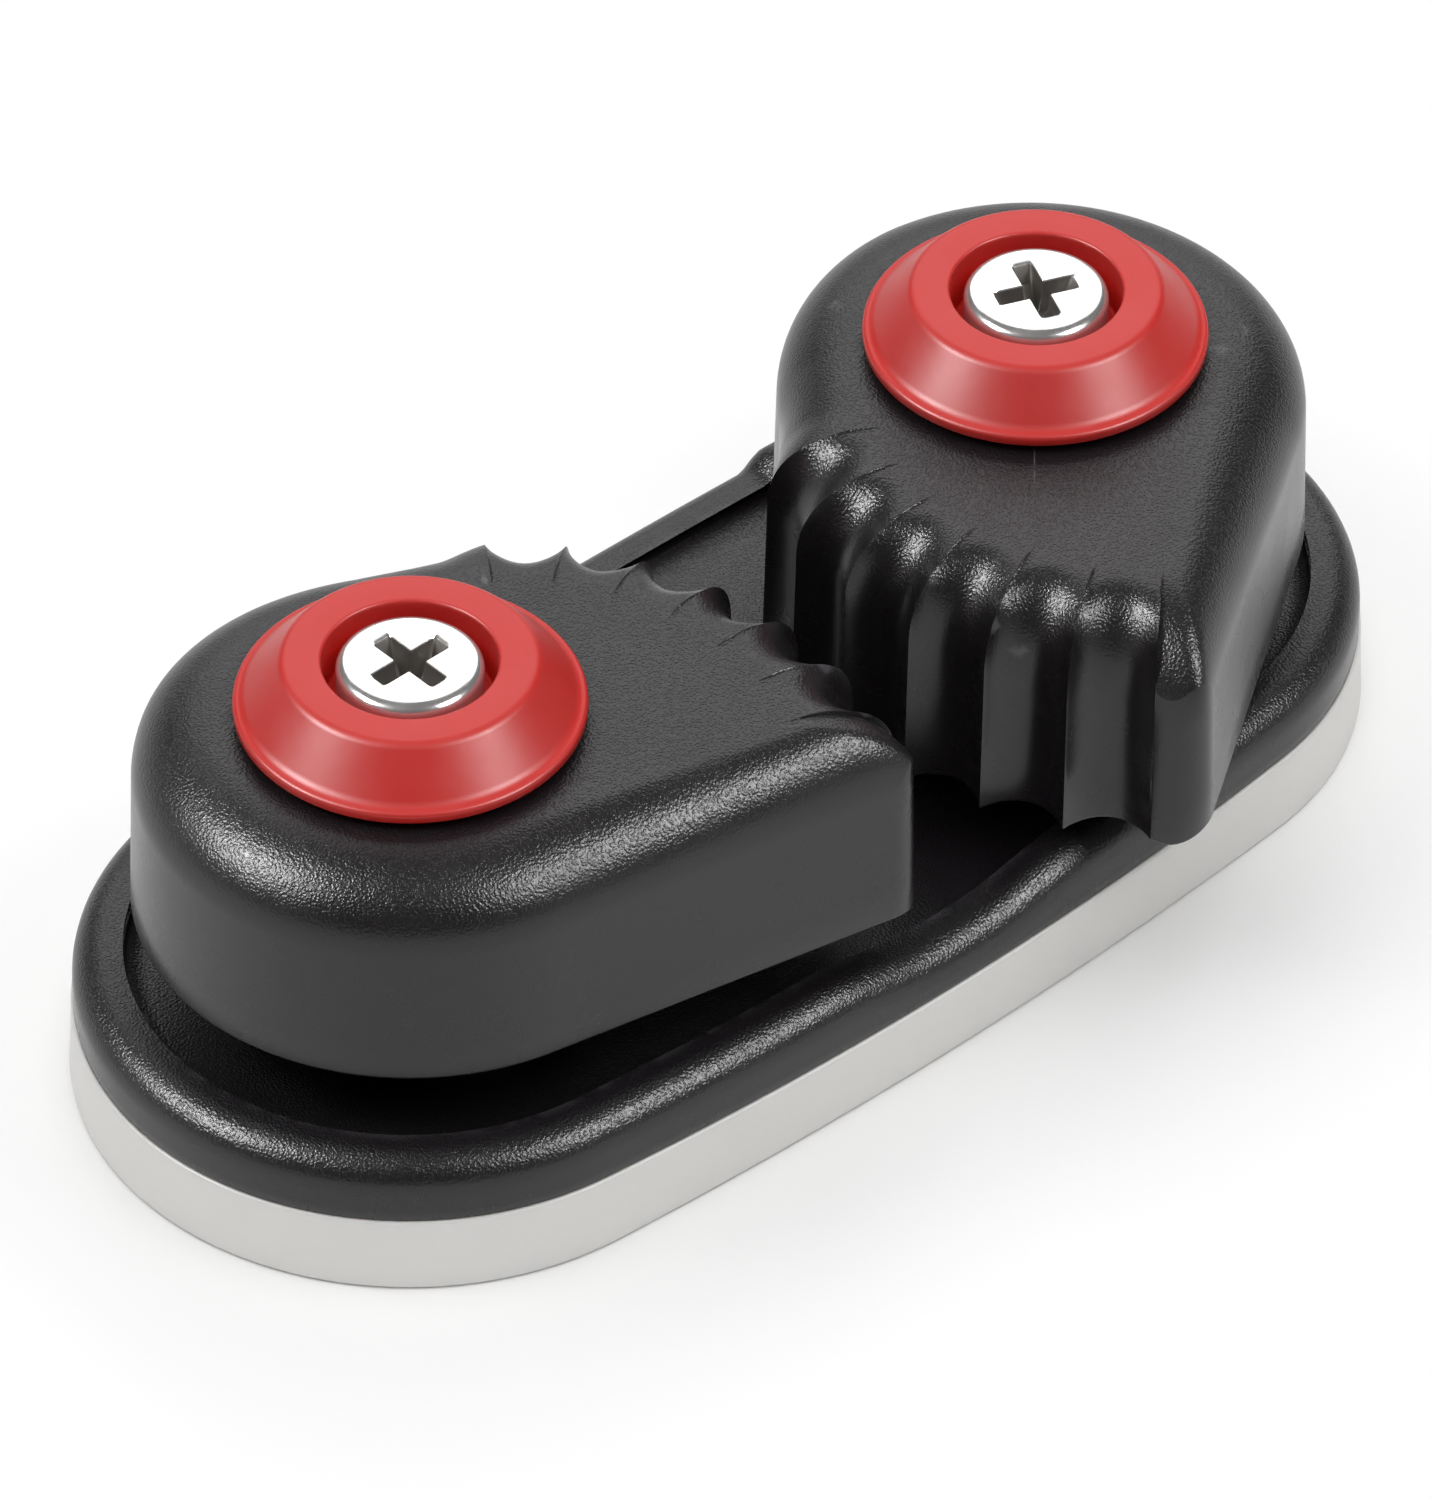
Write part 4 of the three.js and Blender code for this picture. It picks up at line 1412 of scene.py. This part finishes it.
@dataclass
class Screw:
    """Pan head screw with a cross recess."""

    pivot: Pivot
    turn: float
    radius: float = 1.7
    head_radius: float = 3.29
    head_height: float = 2.35
    arm: float = 2.0
    arm_width: float = 1.0
    recess_depth: float = 1.5
    crown_width: float = 0.55
    crown_height: float = 0.5
    plain_shank: float = 8.0
    thread_depth: float = 0.14
    thread_pitch: float = 1.3
    points: int = 288

    def cross(self, scale: float) -> list[Vector]:
        """Outline of the cross recess with softened corners.

        Args:
            scale: Share of the full size.

        Returns:
            One point for each step round the axis.
        """
        half = self.arm_width / 2
        radii = []
        for i in range(self.points):
            turn = 2 * math.pi * i / self.points
            folded = abs((turn + math.pi / 4) % (math.pi / 2) - math.pi / 4)
            flank = half / max(math.sin(folded), 1e-6)
            radii.append(min(self.arm / math.cos(folded), flank, self.arm * 1.01))
        for _ in range(5):
            radii = [
                (radii[i - 1] + 2 * radii[i] + radii[(i + 1) % self.points]) / 4
                for i in range(self.points)]
        return [
            polar(radius * scale, 2 * math.pi * i / self.points + self.turn)
            for i, radius in enumerate(radii)]

    def circle(self, radius: float) -> list[Vector]:
        """A round ring with as many points as the cross."""
        return [polar(radius, 2 * math.pi * i / self.points + self.turn) for i in range(self.points)]

    def mesh(self) -> bpy.types.Mesh:
        """The screw, from the bottom of its recess over the head to its tip.

        Returns:
            The mesh.
        """
        tip, top = heights(f"screw_{self.pivot.side.value}")
        seat = top - self.head_height
        levels: list[tuple[list[Vector], float]] = [
            (self.circle(0), top - self.recess_depth * 1.15),
            (self.cross(0.42), top - self.recess_depth),
            (self.cross(0.8), top - self.recess_depth * 0.62),
            (self.cross(0.94), top - 0.12),
            (self.cross(0.97), top - 0.04),
            (self.cross(1.03), top),
        ]
        rim = self.circle(self.head_radius - self.crown_width)
        for share in (0.35, 0.7, 1.0):
            ring = [inner.lerp(outer, share) for inner, outer in zip(self.cross(1.05), rim)]
            levels.append((ring, top))
        for i in range(1, 9):
            angle = math.pi / 2 * i / 8
            radius = self.head_radius - self.crown_width * (1 - math.sin(angle))
            levels.append((self.circle(radius), top - self.crown_height * (1 - math.cos(angle))))
        levels += [(self.circle(self.head_radius), seat + 0.2), (self.circle(self.head_radius - 0.18), seat)]
        levels += [(self.circle(self.radius + 0.15), seat), (self.circle(self.radius), seat - 0.15)]
        levels += self.thread(tip, seat - self.plain_shank)
        levels += [(self.circle(self.radius - 0.5), tip), (self.circle(0), tip)]
        rings = [[point.to_3d() + Vector((0, 0, height)) for point in ring] for ring, height in levels]
        return loft("screw", rings, Ends.POINTED, sharp=32)

    def shade_recess(self, mesh: bpy.types.Mesh) -> None:
        """Gives the inside of the cross recess a darker, rougher steel; its darkness is painted shade.

        Args:
            mesh: The screw's mesh.
        """
        top = heights(f"screw_{self.pivot.side.value}")[1] - 0.02
        mesh.materials.append(RECESS_SHADE_STEEL.material())
        for face in mesh.polygons:
            centre = face.center / MM
            if centre.xy.length < self.arm * 1.1 and top - 2 * self.recess_depth < centre.z < top:
                face.material_index = 1

    def thread(self, tip: float, start: float) -> list[tuple[list[Vector], float]]:
        """Rings of a single-start thread, from its run-out down to the tip.

        Args:
            tip: Height of the screw's tip.
            start: Height where the thread runs out.

        Returns:
            Rings and their heights.
        """
        levels = []
        steps = int((start - tip) / self.thread_pitch * 10)
        for i in range(steps):
            height = lerp(start, tip + 0.1, i / steps)
            fade = smooth(i / 8) * self.radius * self.thread_depth
            ring = []
            for place in range(self.points):
                turn = place / self.points
                wave = abs(2 * ((height / self.thread_pitch + turn) % 1) - 1)
                taper = 0.5 * clamp(1 - (height - tip) / 0.9)
                ring.append(polar(self.radius - fade * wave - taper, 2 * math.pi * turn + self.turn))
            levels.append((ring, height))
        return levels

    def build(self) -> None:
        """Shows the screw."""
        side = self.pivot.side
        mesh = self.mesh()
        Piece.show(
            mesh, f"pan_screw_{side.value}", STAINLESS, Body.BASE.named(side), f"screw_{side.value}",
            "stainless_steel", self.pivot.x)
        self.shade_recess(mesh)


@dataclass
class Bearing:
    """What a cam turns on: bush, thrust washers, ball cage, balls and torsion spring."""

    pivot: Pivot
    bush_radius: float = 2.9
    hole_radius: float = 1.95
    bore_radius: float = 3.0
    lower_radius: float = 4.9
    upper_radius: float = 5.9
    ball_radius: float = 1.5
    track: float = 4.45
    balls: int = 7
    cage_wall: float = 0.7
    pocket_gap: float = 0.15
    wire: float = 0.45
    coil_radius: float = 6.15
    coils: int = 2
    base_leg: float = math.radians(250)
    cam_leg: float = math.radians(190)
    leg: float = 1.7

    def ring(self, node: str, inner: float, outer: float, ease: float) -> bpy.types.Mesh:
        """A turned ring with eased corners at a node's height.

        Args:
            node: The node that gives the height.
            inner: Inner radius.
            outer: Outer radius.
            ease: Rounding of the corners.

        Returns:
            The mesh.
        """
        low, high = heights(node)
        places = ((inner, low), (outer, low), (outer, high), (inner, high))
        corners = [Corner(radius, height, ease) for radius, height in places]
        return revolve(node, rounded(corners), segments=96)

    def cage(self, node: str) -> bpy.types.Mesh:
        """The cage with a round pocket for each ball.

        Args:
            node: The node that gives the height.

        Returns:
            The mesh.
        """
        low, high = heights(node)
        body = self.ring(node, self.track - self.cage_wall / 2, self.track + self.cage_wall / 2, 0.12)
        radius = self.ball_radius + self.pocket_gap
        tools = []
        for i in range(self.balls):
            tool = rod(radius, self.track - 2, self.track + 2, Vector((0, 0)), 48)
            tool.transform(Matrix.Rotation(math.pi / 2, 4, "Y"))
            tool.transform(Matrix.Translation((0, 0, (low + high) / 2 * MM)))
            tool.transform(Matrix.Rotation(2 * math.pi * i / self.balls, 4, "Z"))
            tools.append(tool)
        return combined(body, tools, Join.CUT)

    def ball(self, node: str) -> bpy.types.Mesh:
        """A moulded ball with its two small flats, at the node's place.

        Args:
            node: The node that gives the place.

        Returns:
            The mesh.
        """
        low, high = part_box(node)
        centre = (low + high) / (2 * MM)
        steps = 24
        polar_flat = math.radians(8)
        profile = [(0.0, -self.ball_radius * math.cos(polar_flat))]
        for i in range(steps + 1):
            angle = lerp(polar_flat, math.pi - polar_flat, i / steps)
            profile.append((self.ball_radius * math.sin(angle), -self.ball_radius * math.cos(angle)))
        profile.append((0.0, self.ball_radius * math.cos(polar_flat)))
        mesh = revolve(node, profile, Ends.POINTED, 40)
        offset = Vector((centre.x - self.pivot.x, centre.y, centre.z))
        mesh.transform(Matrix.Translation(offset * MM))
        return mesh

    def spring(self, node: str) -> bpy.types.Mesh:
        """The round wire of the torsion spring, with a leg down and a leg up.

        Args:
            node: The node that gives the height.

        Returns:
            The mesh.
        """
        low, high = heights(node)
        bend = 2 * self.wire
        bottom, top = low + self.leg + bend, high - self.leg
        sweep = 2 * math.pi * self.coils + self.cam_leg - self.pivot.opening - self.base_leg
        steps = 40 * self.coils
        path = [(0.0, low), (0.0, lerp(low, bottom - bend, 0.5)), (0.0, bottom - bend)]
        path += [(i / steps, lerp(bottom, top, i / steps)) for i in range(1, steps)]
        path += [(1.0, top + bend), (1.0, lerp(top + bend, high, 0.5)), (1.0, high)]
        curve = bpy.data.curves.new(node, "CURVE")
        curve.dimensions = "3D"
        curve.bevel_depth = self.wire
        curve.bevel_resolution = 5
        curve.use_fill_caps = True
        line = curve.splines.new("NURBS")
        line.points.add(len(path) - 1)
        line.use_endpoint_u = True
        line.order_u = 3
        line.resolution_u = 2
        for point, (share, height) in zip(line.points, path):
            place = polar(self.coil_radius, self.base_leg + sweep * share)
            if self.pivot.side is Side.RIGHT:
                place.x = -place.x
            point.co = (place.x, place.y, height, 1)
        holder = bpy.data.objects.new("holder", curve)
        bpy.context.scene.collection.objects.link(holder)
        graph = bpy.context.evaluated_depsgraph_get()
        mesh = bpy.data.meshes.new_from_object(holder.evaluated_get(graph))
        bpy.data.objects.remove(holder)
        mesh.transform(Matrix.Scale(MM, 4))
        work = bmesh.new()
        work.from_mesh(mesh)
        bmesh.ops.remove_doubles(work, verts=list(work.verts), dist=1e-7)
        bmesh.ops.recalc_face_normals(work, faces=list(work.faces))
        work.to_mesh(mesh)
        work.free()
        shade(mesh, 45)
        return mesh

    def build(self) -> None:
        """Shows every piece of the bearing."""
        side = self.pivot.side
        name, x = side.value, self.pivot.x
        base, rolling = Body.BASE.named(side), Body.BEARING.named(side)
        bush = self.ring(f"bush_{name}", self.hole_radius, self.bush_radius, 0.2)
        Piece.show(bush, f"steel_bush_{name}", STAINLESS, base, f"bush_{name}", "stainless_steel", x)
        for level, radius in (("lower", self.lower_radius), ("upper", self.upper_radius)):
            node = f"{level}_washer_{name}"
            washer = self.ring(node, self.bore_radius, radius, 0.1)
            Piece.show(washer, f"thrust_{node}", WHITE_ACETAL, base, node, "white_acetal", x)
        node = f"ball_cage_{name}"
        Piece.show(self.cage(node), f"cage_{name}", GREY_NYLON, rolling, node, "cage_plastic", x)
        for i in range(1, self.balls + 1):
            node = f"ball_{name}_{i}"
            Piece.show(self.ball(node), f"bearing_{node}", WHITE_ACETAL, rolling, node, "white_acetal", x)
        node = f"torsion_spring_{name}"
        Piece.show(self.spring(node), f"coil_{node}", SPRING_WIRE, base, node, "spring_steel", x)


# ---- studio --------------------------------------------------------------------------------------


@dataclass(frozen=True)
class Softbox:
    """A soft square light that looks at the cleat."""

    name: str
    towards: tuple[float, float, float]
    distance: float
    width: float
    height: float
    watts: float
    role: LightRole = LightRole.HIGHLIGHT

    def build(self, aim: Vector) -> None:
        """Hangs the light, unseen by the camera itself.

        Args:
            aim: The point that it looks at.
        """
        data = bpy.data.lights.new(self.name, "AREA")
        data.shape = "RECTANGLE"
        data.size, data.size_y, data.energy = self.width, self.height, self.watts
        lamp = bpy.data.objects.new(self.name, data)
        bpy.context.scene.collection.objects.link(lamp)
        back = Vector(self.towards).normalized()
        lamp.location = aim + back * self.distance
        lamp.rotation_mode = "QUATERNION"
        lamp.rotation_quaternion = back.to_track_quat("Z", "Y")
        lamp.visible_camera = False
        lamp.visible_glossy = self.role is LightRole.HIGHLIGHT
        lamp.visible_diffuse = self.role is LightRole.FILL


@dataclass
class Studio:
    """Floor, light and camera."""

    azimuth: float = math.radians(-43)
    elevation: float = math.radians(41.05)
    roll: float = math.radians(0.49)
    distance: float = 0.6952
    lens: float = 370.0
    aim_height: float = 0.012
    aim_right: float = -0.00045
    aim_up: float = -0.00378
    floor_size: float = 3.0
    sky_low: float = 0.75
    sky_high: float = 0.02
    softboxes: tuple[Softbox, ...] = (
        Softbox("Left softbox", (-0.62, 0.36, 0.68), 0.6, 0.2, 0.18, 6.0),
        Softbox("Right softbox", (0.3, -0.67, 0.68), 0.6, 0.2, 0.2, 4.0),
        Softbox("Back softbox", (0.55, 0.6, 0.6), 0.8, 0.8, 0.5, 2.6),
        Softbox("Overhead fill", (0.0, 0.0, 1.0), 1.2, 2.0, 2.0, 28.0, role=LightRole.FILL),
    )

    def axes(self) -> tuple[Vector, Vector, Vector]:
        """The camera's right, up and back directions.

        Returns:
            The three directions.
        """
        a, e, r = self.azimuth, self.elevation, self.roll
        back = Vector((math.sin(a) * math.cos(e), -math.cos(a) * math.cos(e), math.sin(e)))
        right = Vector((math.cos(a), math.sin(a), 0))
        up = back.cross(right)
        return right * math.cos(r) + up * math.sin(r), up * math.cos(r) - right * math.sin(r), back

    def camera(self) -> None:
        """Puts up the camera."""
        right, up, back = self.axes()
        target = Vector((0, 0, self.aim_height))
        place = target + back * self.distance
        look = (place - (target + right * self.aim_right + up * self.aim_up)).normalized()
        side = up.cross(look).normalized()
        above = look.cross(side)
        data = bpy.data.cameras.new("Camera")
        data.lens = self.lens
        data.clip_start, data.clip_end = 0.01, 20
        camera = bpy.data.objects.new("Camera", data)
        bpy.context.scene.collection.objects.link(camera)
        columns = Matrix((side, above, look)).transposed().to_4x4()
        camera.matrix_world = Matrix.Translation(place) @ columns
        bpy.context.scene.camera = camera

    def sky(self) -> None:
        """Soft light from all round, bright at the horizon and darker overhead."""
        world = bpy.data.worlds.new("Studio")
        bpy.context.scene.world = world
        world.use_nodes = True
        sheet = Sheet(world.node_tree)
        height = sheet.add("ShaderNodeSeparateXYZ", {0: sheet.add("ShaderNodeTexCoord").outputs["Generated"]})
        level = sheet.ramp(height.outputs["Z"], 0.0, 0.22, self.sky_low, self.sky_high)
        background = world.node_tree.nodes["Background"]
        sheet.tree.links.new(level, background.inputs["Color"])

    def floor(self) -> None:
        """Lays the pale floor."""
        half = self.floor_size / 2
        corners = [(-half, -half, 0), (half, -half, 0), (half, half, 0), (-half, half, 0)]
        mesh = bpy.data.meshes.new("floor")
        mesh.from_pydata(corners, [], [(0, 1, 2, 3)])
        mesh.materials.append(PAPER.material())
        ground = bpy.data.objects.new("floor", mesh)
        bpy.context.scene.collection.objects.link(ground)

    def build(self) -> None:
        """Puts up everything that isn't the cleat."""
        bpy.context.scene.view_settings.view_transform = "Standard"
        self.camera()
        self.sky()
        self.floor()
        for softbox in self.softboxes:
            softbox.build(Vector((0, 0, self.aim_height)))


def main() -> None:
    """Builds the cleat and its studio, piece by piece."""
    logging.basicConfig(level=logging.INFO, format="%(name)s %(message)s")
    left, right = Pivot.from_frame(Side.LEFT), Pivot.from_frame(Side.RIGHT)
    Studio().build()
    MountingPad((left, right)).build()
    BasePlate((left, right)).build()
    shape = CamShape(right.x)
    for pivot, turn in ((left, 0.0), (right, -0.4)):
        Cam(pivot, shape).build()
        Bearing(pivot).build()
        HubCap(pivot).build()
        Screw(pivot, turn).build()


if __name__ == "__main__":
    main()
